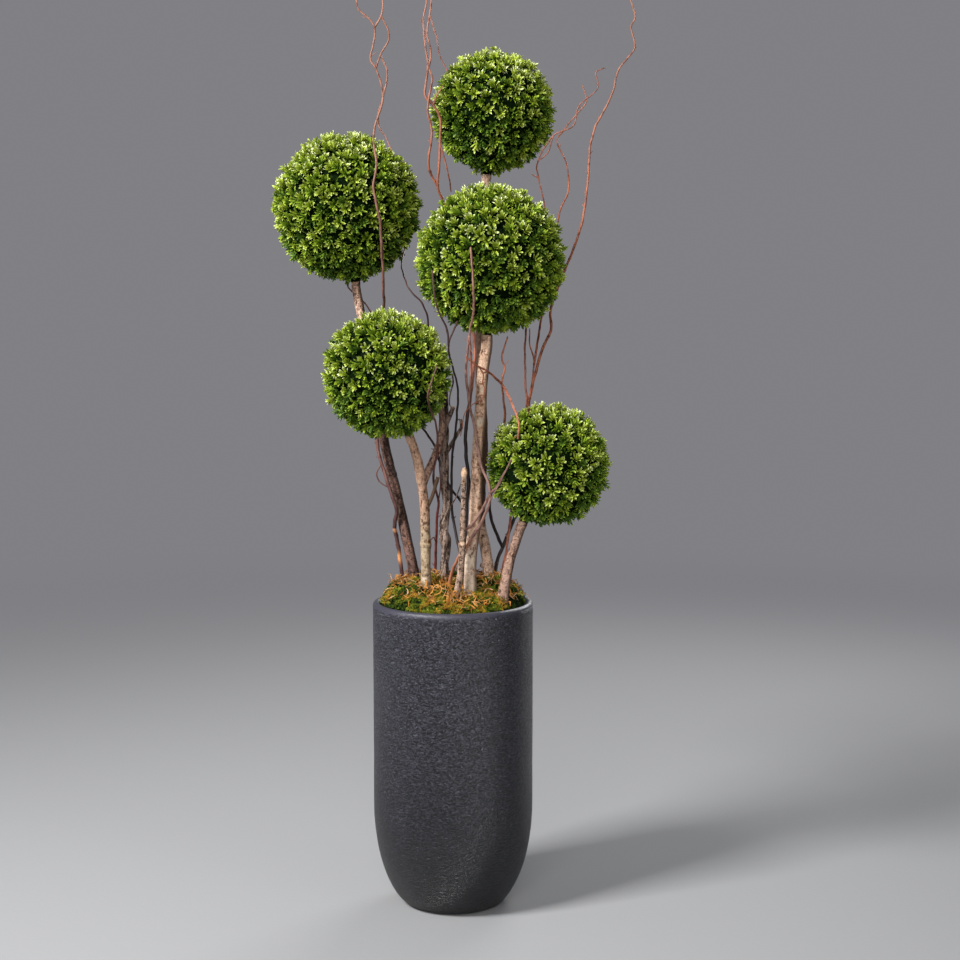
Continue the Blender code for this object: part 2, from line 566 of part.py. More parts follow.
def make_ball(ball, down, limb_points):
    """A clipped ball: core, neck and leaves joined into one solid."""
    rng = random.Random(ball.name)
    centre = Vector(ball.centre)
    core_radius = ball.radius * CORE_SHARE
    mesh = bmesh.new()
    bmesh.ops.create_icosphere(mesh, subdivisions=3, radius=core_radius,
                               matrix=Matrix.Translation(centre))
    body = new_object(ball.name, mesh)
    pole_width = next(pole.radii[1] for pole in POLES if pole.name == ball.pole)
    neck_end = centre + down * (core_radius + NECK_LENGTH)
    neck_start = centre + down * core_radius * NECK_SUNK_TO
    pieces = [tube("neck", [neck_start, neck_end], [pole_width] * 2, NECK_SIDES)]
    for outward in spread_directions(LEAVES_PER_BALL, rng):
        start = centre + outward * (core_radius - LEAF_SUNK)
        tilt = Matrix.Rotation(rng.uniform(0, LEAF_TILT), 3,
                               outward.orthogonal()) @ outward
        tilt.rotate(Matrix.Rotation(rng.uniform(0, math.tau), 3, outward))
        reach = ball.radius * rng.uniform(*LEAF_REACH)
        along = tilt.dot(start - centre)
        length = math.sqrt(along ** 2 - (start - centre).length_squared + reach ** 2) - along
        end = start + tilt * length
        if too_near(start, end, limb_points):
            continue
        turn = tilt.to_track_quat("Z", "Y").to_matrix().to_4x4()
        turn @= Matrix.Rotation(rng.uniform(0, math.pi), 4, "Z")
        pieces.append(leaf(Matrix.Translation((start + end) / 2) @ turn, length))
    boolean(body, pieces, "UNION")
    finish_object(body, LEAF_GREEN)


def main():
    clear_scene()
    make_pot()
    make_fill()
    balls = {ball.pole: ball for ball in BALLS}
    necks = {}
    poles = []
    for pole in POLES:
        if pole.name in balls:
            pole, necks[pole.name] = to_ball(pole, balls[pole.name])
        poles.append(pole)
    planted = [*poles, *TWIGS]
    everything = [*planted, BOUGH]
    limb_points = []
    for limb in everything:
        for radii, route in ((limb.radii, limb.route), *limb.forks):
            limb_points.extend(zip(*limb_rings(limb, radii, route)))
    for limb in planted:
        make_limb(limb)
    carrier = next(pole for pole in poles if pole.name == "trunk_lower_left")
    cut_clear(make_limb(BOUGH), carrier)
    make_moss(planted)
    for ball in BALLS:
        make_ball(ball, necks[ball.pole], limb_points)


main()
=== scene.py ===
"""Dresses the artificial boxwood topiary: planter, moss, barked poles, willow twigs and leaves."""

import logging
import math
import random
from dataclasses import dataclass, replace
from enum import Enum
from typing import Iterable, Iterator, Optional, Sequence, Union

import bmesh
import bpy
import numpy as np
from mathutils import Matrix, Vector, noise


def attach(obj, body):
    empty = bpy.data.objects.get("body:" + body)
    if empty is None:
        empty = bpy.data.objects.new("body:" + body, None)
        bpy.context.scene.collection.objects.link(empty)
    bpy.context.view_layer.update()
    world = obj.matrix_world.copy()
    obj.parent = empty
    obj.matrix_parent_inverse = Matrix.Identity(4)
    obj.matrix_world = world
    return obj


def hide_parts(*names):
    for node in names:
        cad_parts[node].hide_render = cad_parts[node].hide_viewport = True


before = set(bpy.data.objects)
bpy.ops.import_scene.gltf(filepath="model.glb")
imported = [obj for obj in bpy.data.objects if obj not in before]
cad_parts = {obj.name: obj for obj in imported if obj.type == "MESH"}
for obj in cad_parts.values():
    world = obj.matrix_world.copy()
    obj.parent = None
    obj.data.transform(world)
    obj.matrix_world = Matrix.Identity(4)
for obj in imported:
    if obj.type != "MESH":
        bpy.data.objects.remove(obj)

LOG = logging.getLogger("topiary")

Point = tuple[float, float, float]
Colour = tuple[float, float, float]
Stretch = tuple[tuple[float, float], tuple[Point, ...]]

# Metres, unless a name ends in MM.
FOOT_MM = 745.3
FOOT = FOOT_MM / 1000
MOSS_EDGE = 0.765
CLEAR = 0.0003
NOISE_SEED = 1
UP = Vector((0.0, 0.0, 1.0))
STEM_LEVEL = 0.800
UNLIT = (0.0, 0.0, 0.0)
ATTRIBUTES = ("shade", "pale", "knot")


# ---------------------------------------------------------------- shader helpers


class Sock:
    """A node socket: arithmetic on it adds Math nodes to its material."""

    def __init__(self, paint: "Paint", socket: bpy.types.NodeSocket) -> None:
        """Keeps the socket and the material that it belongs to."""
        self.paint = paint
        self.socket = socket

    def maths(self, operation: str, *values: Union["Sock", float]) -> "Sock":
        """One Math node on the given values."""
        return self.paint.out("ShaderNodeMath", {"operation": operation},
                              dict(enumerate(values)))

    def __add__(self, other: Union["Sock", float]) -> "Sock":
        """This plus other."""
        return self.maths("ADD", self, other)

    def __radd__(self, other: float) -> "Sock":
        """Other plus this."""
        return self.maths("ADD", other, self)

    def __sub__(self, other: Union["Sock", float]) -> "Sock":
        """This minus other."""
        return self.maths("SUBTRACT", self, other)

    def __rsub__(self, other: float) -> "Sock":
        """Other minus this."""
        return self.maths("SUBTRACT", other, self)

    def __mul__(self, other: Union["Sock", float]) -> "Sock":
        """This times other."""
        return self.maths("MULTIPLY", self, other)

    def __rmul__(self, other: float) -> "Sock":
        """Other times this."""
        return self.maths("MULTIPLY", other, self)

    def step(self, low: float, high: float) -> "Sock":
        """A smooth step from 0 at low to 1 at high."""
        return self.paint.out("ShaderNodeMapRange", {"interpolation_type": "SMOOTHSTEP"},
                              {0: self, 1: low, 2: high, 3: 0.0, 4: 1.0})


class Paint:
    """A procedural material while it is put together."""

    def __init__(self, name: str) -> None:
        """Starts a material with its Principled shader.

        Args:
            name: the material's name.
        """
        self.material = bpy.data.materials.new(name)
        self.material.use_nodes = True
        self.tree = self.material.node_tree
        self.shader = self.tree.nodes["Principled BSDF"]

    def node(self, kind: str, settings: dict, inputs: dict) -> bpy.types.Node:
        """Adds any node.

        Args:
            kind: the node's type.
            settings: its own properties; "stops" gives a ramp's (position, colour) pairs.
            inputs: values or sockets by the input's index or name.

        Returns:
            The new node.
        """
        made = self.tree.nodes.new(kind)
        for name, value in settings.items():
            if name == "stops":
                ramp = made.color_ramp
                while len(ramp.elements) < len(value):
                    ramp.elements.new(0.5)
                for stop, (position, colour) in zip(ramp.elements, value):
                    stop.position = position
                    stop.color = (*colour, 1.0)
            else:
                setattr(made, name, value)
        for key, value in inputs.items():
            self.feed(made.inputs[key], value)
        return made

    def feed(self, socket: bpy.types.NodeSocket, value: object) -> None:
        """Links a socket to another, or sets its value.

        Args:
            socket: the input that is fed.
            value: another socket, a colour or a number.
        """
        if isinstance(value, Sock):
            self.tree.links.new(value.socket, socket)
        elif isinstance(value, tuple) and socket.type == "RGBA":
            socket.default_value = (*value, 1.0)
        else:
            socket.default_value = value

    def out(self, kind: str, settings: Optional[dict] = None, inputs: Optional[dict] = None,
            output: int = 0) -> Sock:
        """Adds any node and returns one of its outputs."""
        return Sock(self, self.node(kind, settings or {}, inputs or {}).outputs[output])

    def place(self, scale: Point = (1.0, 1.0, 1.0)) -> Sock:
        """The place on the object, stretched by a scale."""
        where = self.out("ShaderNodeTexCoord", output=3)
        return self.out("ShaderNodeMapping", inputs={"Vector": where, "Scale": scale})

    def height(self) -> Sock:
        """The height above the floor."""
        return self.out("ShaderNodeSeparateXYZ", inputs={0: self.place()}, output=2)

    def cloud(self, scale: float, stretch: Point = (1.0, 1.0, 1.0), detail: float = 3.0,
              roughness: float = 0.55, distortion: float = 0.0) -> Sock:
        """Noise on the object's own coordinates.

        Args:
            scale: how many clouds there are in a metre.
            stretch: how many times closer they lie along each axis.
            detail: how many finer noises are added.
            roughness: how strong those are.
            distortion: how far the noise is swirled.

        Returns:
            The noise, between 0 and 1.
        """
        return self.out("ShaderNodeTexNoise", inputs={
            "Vector": self.place(stretch), "Scale": scale, "Detail": detail,
            "Roughness": roughness, "Distortion": distortion})

    def cells(self, scale: float, stretch: Point = (1.0, 1.0, 1.0), feature: str = "F1",
              warp: float = 0.0) -> Sock:
        """Voronoi cells on the object's own coordinates, warped by a little noise.

        Args:
            scale: how many cells there are in a metre.
            stretch: how many times closer they lie along each axis.
            feature: what is read from the cells.
            warp: how far the noise pushes them, in cells.

        Returns:
            The distance that the cells give.
        """
        where = self.place(stretch)
        if warp:
            push = self.out("ShaderNodeTexNoise",
                            inputs={"Vector": where, "Scale": scale * 0.7}, output=1)
            push = self.out("ShaderNodeVectorMath", {"operation": "SCALE"},
                            {0: push, "Scale": warp / scale})
            where = self.out("ShaderNodeVectorMath", {"operation": "ADD"}, {0: where, 1: push})
        return self.out("ShaderNodeTexVoronoi", {"feature": feature},
                        {"Vector": where, "Scale": scale})

    def attribute(self, name: str) -> Sock:
        """A value that the mesh carries at each point."""
        return self.out("ShaderNodeAttribute", {"attribute_name": name}, output=2)

    def mix(self, factor: Union[Sock, float], first: Union[Sock, Colour],
            second: Union[Sock, Colour], blend: str = "MIX") -> Sock:
        """A colour between two others."""
        return self.out("ShaderNodeMix", {"data_type": "RGBA", "blend_type": blend},
                        {0: factor, 6: first, 7: second}, output=2)

    def ramp(self, factor: Sock, *stops: tuple[float, Colour]) -> Sock:
        """A colour read from a ramp."""
        return self.out("ShaderNodeValToRGB", {"stops": stops}, {0: factor})

    def bump(self, height: Sock, distance: float) -> Sock:
        """A normal bent by a height between 0 and 1, times a distance in metres."""
        return self.out("ShaderNodeBump", inputs={
            "Strength": 1.0, "Distance": distance, "Height": height})

    def finish(self, **inputs: object) -> bpy.types.Material:
        """Feeds the shader's sockets.

        Args:
            inputs: values or sockets, by the input's name with _ for a space.

        Returns:
            The finished material.
        """
        for name, value in inputs.items():
            self.feed(self.shader.inputs[name.replace("_", " ").title().replace("Ior", "IOR")],
                      value)
        return self.material


# ---------------------------------------------------------------- finishes


@dataclass(frozen=True)
class PotGlaze:
    """Matt charcoal glaze, finely wrinkled like leather below a smooth lip."""

    name: str = "pot_glaze"
    painted_groove_shade: Colour = (0.0030, 0.0031, 0.0045)
    dark: Colour = (0.0045, 0.0045, 0.0065)
    light: Colour = (0.0500, 0.0480, 0.0670)
    painted_glint: Colour = (0.185, 0.185, 0.225)
    smooth_from: float = 0.750
    smooth_to: float = 0.762
    painted_shade_below: float = 0.62
    wrinkles_per_metre: float = 150.0
    wrinkle_depth: float = 0.0120

    def material(self) -> bpy.types.Material:
        """Mixes the glaze: painted shade in the grooves, painted glints on the ridges, and painted
        shade darker towards the foot.

        Returns:
            The glaze as a material.
        """
        paint = Paint(self.name)
        folds = paint.cells(self.wrinkles_per_metre, (1.0, 1.0, 1.8), "SMOOTH_F1", warp=1.4)
        creases = paint.cloud(self.wrinkles_per_metre, (1.0, 1.0, 2.1), detail=2.5,
                              distortion=1.2)
        height = paint.height()
        wrinkled = 1.0 - height.step(self.smooth_from, self.smooth_to)
        relief = (folds * 0.7 + creases) * (wrinkled * 0.92 + 0.08)
        clouds = paint.cloud(7.0, (1.0, 1.0, 0.35), detail=4.0)
        # Painted light and shade: lighter towards the lip and darker towards the foot, with random
        # clouds.
        lit = height.step(-0.10, self.painted_shade_below) * 0.85 + (clouds - 0.5) * 0.5
        colour = paint.mix(lit, self.dark, self.light)
        # Painted shade in the grooves of the wrinkles.
        groove_shade_mask = (folds * 0.5 + creases * 0.9 - 0.18).step(0.54, 0.40)
        colour = paint.mix(groove_shade_mask * wrinkled * 0.9, colour, self.painted_groove_shade)
        # Painted glints on the crease ridges, strongest where the painted light is.
        colour = paint.mix(creases.step(0.56, 0.66) * wrinkled * lit * 0.75, colour, self.painted_glint)
        rough = 0.34 + clouds * 0.12
        return paint.finish(base_color=colour, roughness=rough,
                            normal=paint.bump(relief, self.wrinkle_depth),
                            specular_ior_level=0.5)


@dataclass(frozen=True)
class Foam:
    """Rough set foam that the poles stand in."""

    name: str = "set_foam"
    pore: Colour = (0.27, 0.26, 0.24)
    grain: Colour = (0.40, 0.39, 0.36)

    def material(self) -> bpy.types.Material:
        """Mixes the foam.

        Returns:
            The foam as a material.
        """
        paint = Paint(self.name)
        grains = paint.cells(260.0, warp=0.5)
        colour = paint.mix(grains, self.pore, self.grain)
        return paint.finish(base_color=colour, roughness=0.9,
                            normal=paint.bump(grains, 0.0015))


@dataclass(frozen=True)
class Bark:
    """Bark of a pole: streaked and mottled, with specks, short cross bars, knots and flakes.

    Above the height upper_from its colours are multiplied by upper_tint.
    """

    name: str
    pale: Colour
    middle: Colour
    dark: Colour
    patch: Colour = (0.60, 0.48, 0.36)
    scar: Colour = (0.30, 0.13, 0.045)
    upper_tint: Colour = (1.0, 1.0, 1.0)
    upper_from: float = 9.0
    bars: float = 0.35
    flakes: float = 0.4
    rough: float = 0.72
    streaks_per_metre: float = 42.0
    streak_stretch: float = 0.22
    relief_depth: float = 0.0034

    def material(self) -> bpy.types.Material:
        """Mixes the bark from its colours and from the values that the mesh carries.

        Returns:
            The bark as a material.
        """
        paint = Paint(self.name)
        streaks = paint.cloud(self.streaks_per_metre, (1.0, 1.0, self.streak_stretch),
                              detail=5.0, roughness=0.62, distortion=0.4)
        mottle = paint.cloud(75.0, (1.0, 1.0, 0.7), detail=5.0, roughness=0.7)
        grain = paint.cloud(260.0, (1.0, 1.0, 0.6), detail=2.0)
        bars = paint.cloud(105.0, (1.0, 1.0, 2.6), detail=3.0, distortion=1.4)
        flakes = paint.cells(120.0, (1.0, 1.0, 0.75), warp=1.6)
        colour = paint.ramp(streaks * 0.35 + mottle * 0.45 + grain * 0.2, (0.425, self.dark),
                            (0.482, self.middle), (0.540, self.pale))
        colour = paint.mix(flakes.step(0.42, 0.56) * self.flakes, colour, self.pale)
        if self.upper_tint != (1.0, 1.0, 1.0):
            rise = (paint.height() + mottle * 0.08).step(self.upper_from,
                                                         self.upper_from + 0.10)
            upper = paint.mix(1.0, colour, self.upper_tint, "MULTIPLY")
            colour = paint.mix(rise, colour, upper)
        colour = paint.mix(bars.step(0.550, 0.605) * self.bars, colour, self.dark)
        colour = paint.mix(grain.step(0.60, 0.70) * 0.35, colour, self.dark)
        colour = paint.mix(paint.attribute("pale") * (mottle.step(0.25, 0.6) * 0.8 + 0.1),
                           colour, self.patch)
        # The shade value darkens the bark: painted shade on the shaded side and painted shadow in
        # the band, with random dark patches, dark ring edges and the dark forks.
        colour = paint.mix((paint.attribute("shade") + (mottle - 0.5) * 0.8).step(0.15, 0.85),
                           colour, paint.mix(0.92, colour, self.dark))
        knot = paint.attribute("knot")
        colour = paint.mix(knot.step(0.12, 0.45) * 0.8, colour, self.scar)
        colour = paint.mix(knot.step(0.35, 0.75), colour, self.dark)
        relief = grain * 0.5 + mottle * 0.9 + bars * 0.4 + flakes * 0.4 + streaks * 0.8
        return paint.finish(base_color=colour, roughness=self.rough,
                            normal=paint.bump(relief, self.relief_depth),
                            specular_ior_level=0.22)


@dataclass(frozen=True)
class WillowBark:
    """Thin satin bark of a twig.

    It is low near the foot, high above the height turn, and tip above tip_turn.
    """

    name: str
    low: Colour
    high: Colour
    tip: Colour
    turn: float = 1.05
    tip_turn: float = 1.95
    spread: float = 0.07
    tip_spread: float = 0.2
    dirt: Colour = (0.28, 0.16, 0.14)
    bare_wood: Colour = (0.68, 0.30, 0.12)
    knot: Colour = (0.055, 0.022, 0.016)

    def material(self) -> bpy.types.Material:
        """Mixes the twig bark.

        Returns:
            The twig bark as a material.
        """
        paint = Paint(self.name)
        mottle = paint.cloud(36.0, (1.0, 1.0, 0.5), detail=4.0)
        grain = paint.cloud(210.0, (1.0, 1.0, 0.3), detail=2.0)
        level = paint.height() + (mottle - 0.5) * 0.25
        colour = paint.mix(level.step(self.turn - self.spread, self.turn + self.spread),
                           self.low, self.high)
        colour = paint.mix(level.step(self.tip_turn - self.tip_spread,
                                      self.tip_turn + self.tip_spread), colour, self.tip)
        deeper = paint.mix(0.85, colour, self.dirt, "MULTIPLY")
        colour = paint.mix((grain * 0.5 + mottle * 0.5).step(0.48, 0.64), colour, deeper)
        colour = paint.mix(paint.attribute("shade"), colour, deeper)
        colour = paint.mix(paint.attribute("pale"), colour, self.bare_wood)
        colour = paint.mix(paint.attribute("knot") * 0.7, colour, self.knot)
        return paint.finish(base_color=colour, roughness=0.55,
                            normal=paint.bump(mottle, 0.0006), specular_ior_level=0.35)


@dataclass(frozen=True)
class Blade:
    """Moulded or dried leaf matter of one tone, a little uneven."""

    name: str
    colour: Colour
    other: Colour
    rough: float = 0.45
    scale: float = 160.0
    gloss: float = 0.4

    def material(self) -> bpy.types.Material:
        """Mixes the tone from its two near colours.

        Returns:
            The leaf tone as a material.
        """
        paint = Paint(self.name)
        mottle = paint.cloud(self.scale, detail=2.0)
        colour = paint.mix(mottle.step(0.35, 0.65), self.colour, self.other)
        return paint.finish(base_color=colour, roughness=self.rough + 0.1 * mottle,
                            normal=paint.bump(mottle, 0.0006),
                            specular_ior_level=self.gloss)


class LeafTone(Enum):
    """The plain tones that the boxwood leaves are dealt: shaded and lit copies of one green as
    painted shade and light, tips partly pale and partly painted sheen, and the deep shade of the
    cores.
    """

    DEEP = Blade("leaf_deep_shade", (0.0020, 0.0055, 0.0014), (0.0034, 0.0095, 0.0020), 0.85,
                 gloss=0.03)
    SHADED = Blade("leaf_shaded", (0.052, 0.112, 0.009), (0.078, 0.150, 0.012), 0.50,
                   gloss=0.3)
    GREEN = Blade("leaf_green", (0.158, 0.255, 0.016), (0.210, 0.310, 0.022), 0.48, gloss=0.3)
    BRIGHT = Blade("leaf_bright_lit", (0.290, 0.385, 0.024), (0.360, 0.445, 0.034), 0.46,
                   gloss=0.3)
    TIP_GREEN = Blade("leaf_tip_green", (0.460, 0.545, 0.125), (0.530, 0.605, 0.180), 0.42,
                      gloss=0.4)
    TIP_PALE = Blade("leaf_tip_pale_sheen", (0.660, 0.725, 0.330), (0.740, 0.780, 0.430), 0.40,
                     gloss=0.45)


class MossTone(Enum):
    """The plain tones of the moss and of the dry fibres in it; the deep shade paints shade under
    and between the tufts, and the bright lit tone is partly painted light.
    """

    DEEP = Blade("moss_deep_shade", (0.004, 0.009, 0.002), (0.011, 0.024, 0.003), 0.85, 90.0, 0.1)
    GREEN = Blade("moss_green", (0.036, 0.075, 0.006), (0.080, 0.130, 0.010), 0.80, 90.0, 0.15)
    BRIGHT = Blade("moss_bright_lit", (0.152, 0.184, 0.010), (0.240, 0.248, 0.019), 0.75, 90.0,
                   0.2)
    GOLD = Blade("moss_gold", (0.327, 0.168, 0.012), (0.421, 0.245, 0.029), 0.75, 90.0, 0.2)
    STRAW = Blade("fibre_straw", (0.413, 0.155, 0.019), (0.516, 0.241, 0.052), 0.65, 120.0,
                  0.2)
    TAN = Blade("fibre_tan", (0.430, 0.232, 0.090), (0.533, 0.335, 0.163), 0.65, 120.0, 0.2)
    RUST = Blade("fibre_rust", (0.200, 0.062, 0.008), (0.300, 0.110, 0.017), 0.70, 120.0,
                 0.2)


# ---------------------------------------------------------------- mesh helpers


def hand_over(piece: bpy.types.Object, slot: str, *nodes: str) -> None:
    """Puts a finished piece on the root body, in place of its CAD nodes.

    Args:
        piece: the finished piece.
        slot: a material slot name; not used.
        nodes: the CAD nodes that it replaces.
    """
    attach(piece, "root")
    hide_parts(*nodes)
    LOG.info("%s: %d faces", piece.name, len(piece.data.polygons))


def linked(name: str, data: bpy.types.ID) -> bpy.types.Object:
    """Puts a mesh, lamp or camera into the scene.

    Args:
        name: the object's name.
        data: its mesh, lamp or camera data.

    Returns:
        The object.
    """
    made = bpy.data.objects.new(name, data)
    bpy.context.scene.collection.objects.link(made)
    return made


def piece_from(name: str, mesh: bmesh.types.BMesh,
               material: bpy.types.Material) -> bpy.types.Object:
    """Turns a bmesh into a smooth-shaded object with its faces pointing out.

    Args:
        name: the piece's name.
        mesh: its shape, which is freed.
        material: its finish.

    Returns:
        The object.
    """
    bmesh.ops.recalc_face_normals(mesh, faces=mesh.faces)
    data = bpy.data.meshes.new(name)
    mesh.to_mesh(data)
    mesh.free()
    data.shade_smooth()
    data.materials.append(material)
    return linked(name, data)


def turn(angle: float, axis: str = "Z") -> Matrix:
    """A turn by an angle about an axis."""
    return Matrix.Rotation(angle, 4, axis)


def toward(aim: Vector) -> Matrix:
    """A turn that points Z along a direction."""
    return aim.to_track_quat("Z", "Y").to_matrix().to_4x4()


def faces_of(points: Iterable[bmesh.types.BMVert]) -> set[bmesh.types.BMFace]:
    """The faces that touch any of the points."""
    return {face for point in points for face in point.link_faces}


def smooth_route(points: Sequence[Point], step: float) -> list[Vector]:
    """Runs a smooth curve through points.

    Args:
        points: the places that it passes.
        step: the distance between the new points, more or less.

    Returns:
        The points along the curve.
    """
    knots = [Vector(point) for point in points]
    knots = [2 * knots[0] - knots[1], *knots, 2 * knots[-1] - knots[-2]]
    made = [knots[1]]
    for before, start, end, after in zip(knots, knots[1:], knots[2:], knots[3:]):
        count = max(1, round((end - start).length / step))
        for part in range(1, count + 1):
            t = part / count
            made.append(0.5 * (2 * start + (end - before) * t
                               + (2 * before - 5 * start + 4 * end - after) * t ** 2
                               + (3 * start - before - 3 * end + after) * t ** 3))
    return made


@dataclass
class Course:
    """A line through space with a width at each of its points."""

    points: list[Vector]
    widths: list[float]

    def along(self) -> list[float]:
        """Measures the line.

        Returns:
            The distance of each point from the start.
        """
        made = [0.0]
        for start, end in zip(self.points, self.points[1:]):
            made.append(made[-1] + (end - start).length)
        return made

    def places(self) -> list[Matrix]:
        """Sets a frame on each point, turned as little as may be from the last.

        Returns:
            The frames, with Z along the line.
        """
        tangents = [(after - before).normalized() for before, after in
                    zip([self.points[0], *self.points], [*self.points[1:], self.points[-1]])]
        ahead = tangents[0]
        rolled = ahead.to_track_quat("Z", "Y")
        made = []
        for point, tangent in zip(self.points, tangents):
            rolled = ahead.rotation_difference(tangent) @ rolled
            ahead = tangent
            made.append(Matrix.Translation(point) @ rolled.to_matrix().to_4x4())
        return made


def tapered(radii: tuple[float, float], route: Sequence[Point], step: float,
            slimness: float = 1.0) -> Course:
    """Lays a smooth line that tapers evenly from its foot to its tip.

    Args:
        radii: the widths of the two ends.
        route: the places that the line passes.
        step: the distance between its points, more or less.
        slimness: what the widths are multiplied by.

    Returns:
        The line.
    """
    points = smooth_route(route, step)
    (root, tip), count = radii, len(points) - 1
    return Course(points, [slimness * (root + (tip - root) * part / count)
                           for part in range(count + 1)])


class Cap(Enum):
    """How a tube ends: the last rings' widths and heights, as shares of its radius."""

    FLAT = ((0.93, 0.08), (0.5, 0.10), (0.0, 0.10))
    ROUND = ((0.78, 0.55), (0.45, 0.85), (0.0, 1.0))


@dataclass
class Relief:
    """The plain surface of a tube; other kinds bend and colour it."""

    def at(self, point: Vector, outward: Vector, width: float,
           along: float) -> tuple[float, tuple[float, float, float]]:
        """Reads the surface at a place.

        Args:
            point: the place on the plain tube.
            outward: the way out of the tube there.
            width: the tube's radius there.
            along: the distance from the tube's start.

        Returns:
            How far the surface stands out, and its shade, pale and knot values.
        """
        return 0.0, (0.0, 0.0, 0.0)


def open_mesh() -> bmesh.types.BMesh:
    """Starts a bmesh that carries the surface values.

    Returns:
        The empty bmesh.
    """
    mesh = bmesh.new()
    for name in ATTRIBUTES:
        mesh.verts.layers.float.new(name)
    return mesh


def roll_tube(mesh: bmesh.types.BMesh, course: Course, sides: int, relief: Relief,
              end: Cap = Cap.ROUND, cut_pale: float = 0.0, flat: float = 1.0) -> None:
    """Rolls a grid into a closed tube along a course.

    Args:
        mesh: the bmesh that the tube is added to.
        course: the line and the widths.
        sides: the number of faces round the tube.
        relief: what bends and colours the surface.
        end: how the far end closes. The near end is flat.
        cut_pale: the pale value of the far end.
        flat: the depth of a ribbon as a share of its width.
    """
    rows = [(place, width, along, 0.0) for place, width, along in
            zip(course.places(), course.widths, course.along())]
    place, width, along, _ = rows[0]
    rows.insert(0, (place, 0.0, along, 0.0))
    place, width, along, _ = rows[-1]
    for share, lift in end.value:
        rows.append((place @ Matrix.Translation((0, 0, lift * width)), width * share, along,
                     cut_pale))
    layers = [mesh.verts.layers.float[name] for name in ATTRIBUTES]
    made = bmesh.ops.create_grid(mesh, x_segments=sides, y_segments=len(rows) - 1,
                                 size=0.5)["verts"]
    for point in made:
        angle = math.tau * round((point.co.x + 0.5) * sides) / sides
        place, width, along, pale = rows[round((point.co.y + 0.5) * (len(rows) - 1))]
        outward = place.to_3x3() @ Vector((math.cos(angle), flat * math.sin(angle), 0.0))
        surface = place.translation + outward * width
        if width > 0.0:
            lift, values = relief.at(surface, outward, width, along)
            surface += outward * lift
            for layer, value in zip(layers, values):
                point[layer] = value
        if pale:
            point[layers[1]] = pale
            point[layers[0]] = point[layers[2]] = 0.0
        point.co = surface
    bmesh.ops.remove_doubles(mesh, verts=made, dist=1e-6)


def turned(profile: Sequence[tuple[float, float]], steps: int) -> bmesh.types.BMesh:
    """Turns a closed shape round Z.

    Args:
        profile: (radius, height) points, of which the first and the last are on the axis.
        steps: the number of faces round it.

    Returns:
        The shape.
    """
    mesh = bmesh.new()
    points = [mesh.verts.new((radius, 0.0, height)) for radius, height in profile]
    edges = [mesh.edges.new(pair) for pair in zip(points, points[1:])]
    bmesh.ops.spin(mesh, geom=points + edges, cent=(0, 0, 0), axis=(0, 0, 1),
                   angle=math.tau, steps=steps, use_merge=True, use_duplicate=False)
    bmesh.ops.remove_doubles(mesh, verts=mesh.verts, dist=1e-5)
    return mesh


def spread_directions(count: int, rng: random.Random, jitter: float) -> Iterator[Vector]:
    """Spreads directions evenly over a sphere.

    Args:
        count: how many there are.
        rng: the random numbers.
        jitter: how far each may be turned about Z.

    Yields:
        The directions.
    """
    for index in range(count):
        height = 1 - (2 * index + 1) / count
        angle = index * math.pi * (3 - math.sqrt(5)) + rng.uniform(-jitter, jitter)
        across = math.sqrt(1 - height * height)
        yield Vector((across * math.cos(angle), across * math.sin(angle), height))


class Sprout:
    """A small shape that is repeated many times, kept as arrays."""

    def __init__(self, mesh: bmesh.types.BMesh) -> None:
        """Reads the shape from a bmesh, and frees it.

        Args:
            mesh: the shape.
        """
        mesh.verts.index_update()
        self.points = np.array([point.co[:] for point in mesh.verts])
        self.sizes = np.array([len(face.verts) for face in mesh.faces])
        self.corners = np.array([point.index for face in mesh.faces for point in face.verts])
        self.tones = np.array([face.material_index for face in mesh.faces])
        mesh.free()


def joined(name: str, sprouts: Sequence[Sprout],
           spots: Sequence[tuple[int, Matrix, tuple[int, ...]]],
           finishes: Sequence[Enum]) -> bpy.types.Object:
    """Joins copies of small shapes into one mesh.

    Args:
        name: the piece's name.
        sprouts: the shapes.
        spots: for each copy the shape's number, its place, and the material slot that
            each of its tones takes.
        finishes: the tones of the piece's material slots.

    Returns:
        The joined object.
    """
    points, corners, starts, tones = [], [], [], []
    point_count = corner_count = 0
    for number, place, slots in spots:
        shape = sprouts[number]
        matrix = np.array(place)
        points.append(shape.points @ matrix[:3, :3].T + matrix[:3, 3])
        corners.append(shape.corners + point_count)
        starts.append(np.cumsum(shape.sizes) - shape.sizes + corner_count)
        tones.append(np.array(slots)[shape.tones])
        point_count += len(shape.points)
        corner_count += len(shape.corners)
    data = bpy.data.meshes.new(name)
    data.vertices.add(point_count)
    data.vertices.foreach_set("co", np.concatenate(points).ravel())
    data.loops.add(corner_count)
    data.loops.foreach_set("vertex_index", np.concatenate(corners))
    all_starts = np.concatenate(starts)
    data.polygons.add(len(all_starts))
    data.polygons.foreach_set("loop_start", all_starts)
    for finish in finishes:
        data.materials.append(finish.value.material())
    data.polygons.foreach_set("material_index", np.concatenate(tones))
    data.update(calc_edges=True)
    data.validate()
    data.shade_smooth()
    return linked(name, data)


# ---------------------------------------------------------------- planter and moss


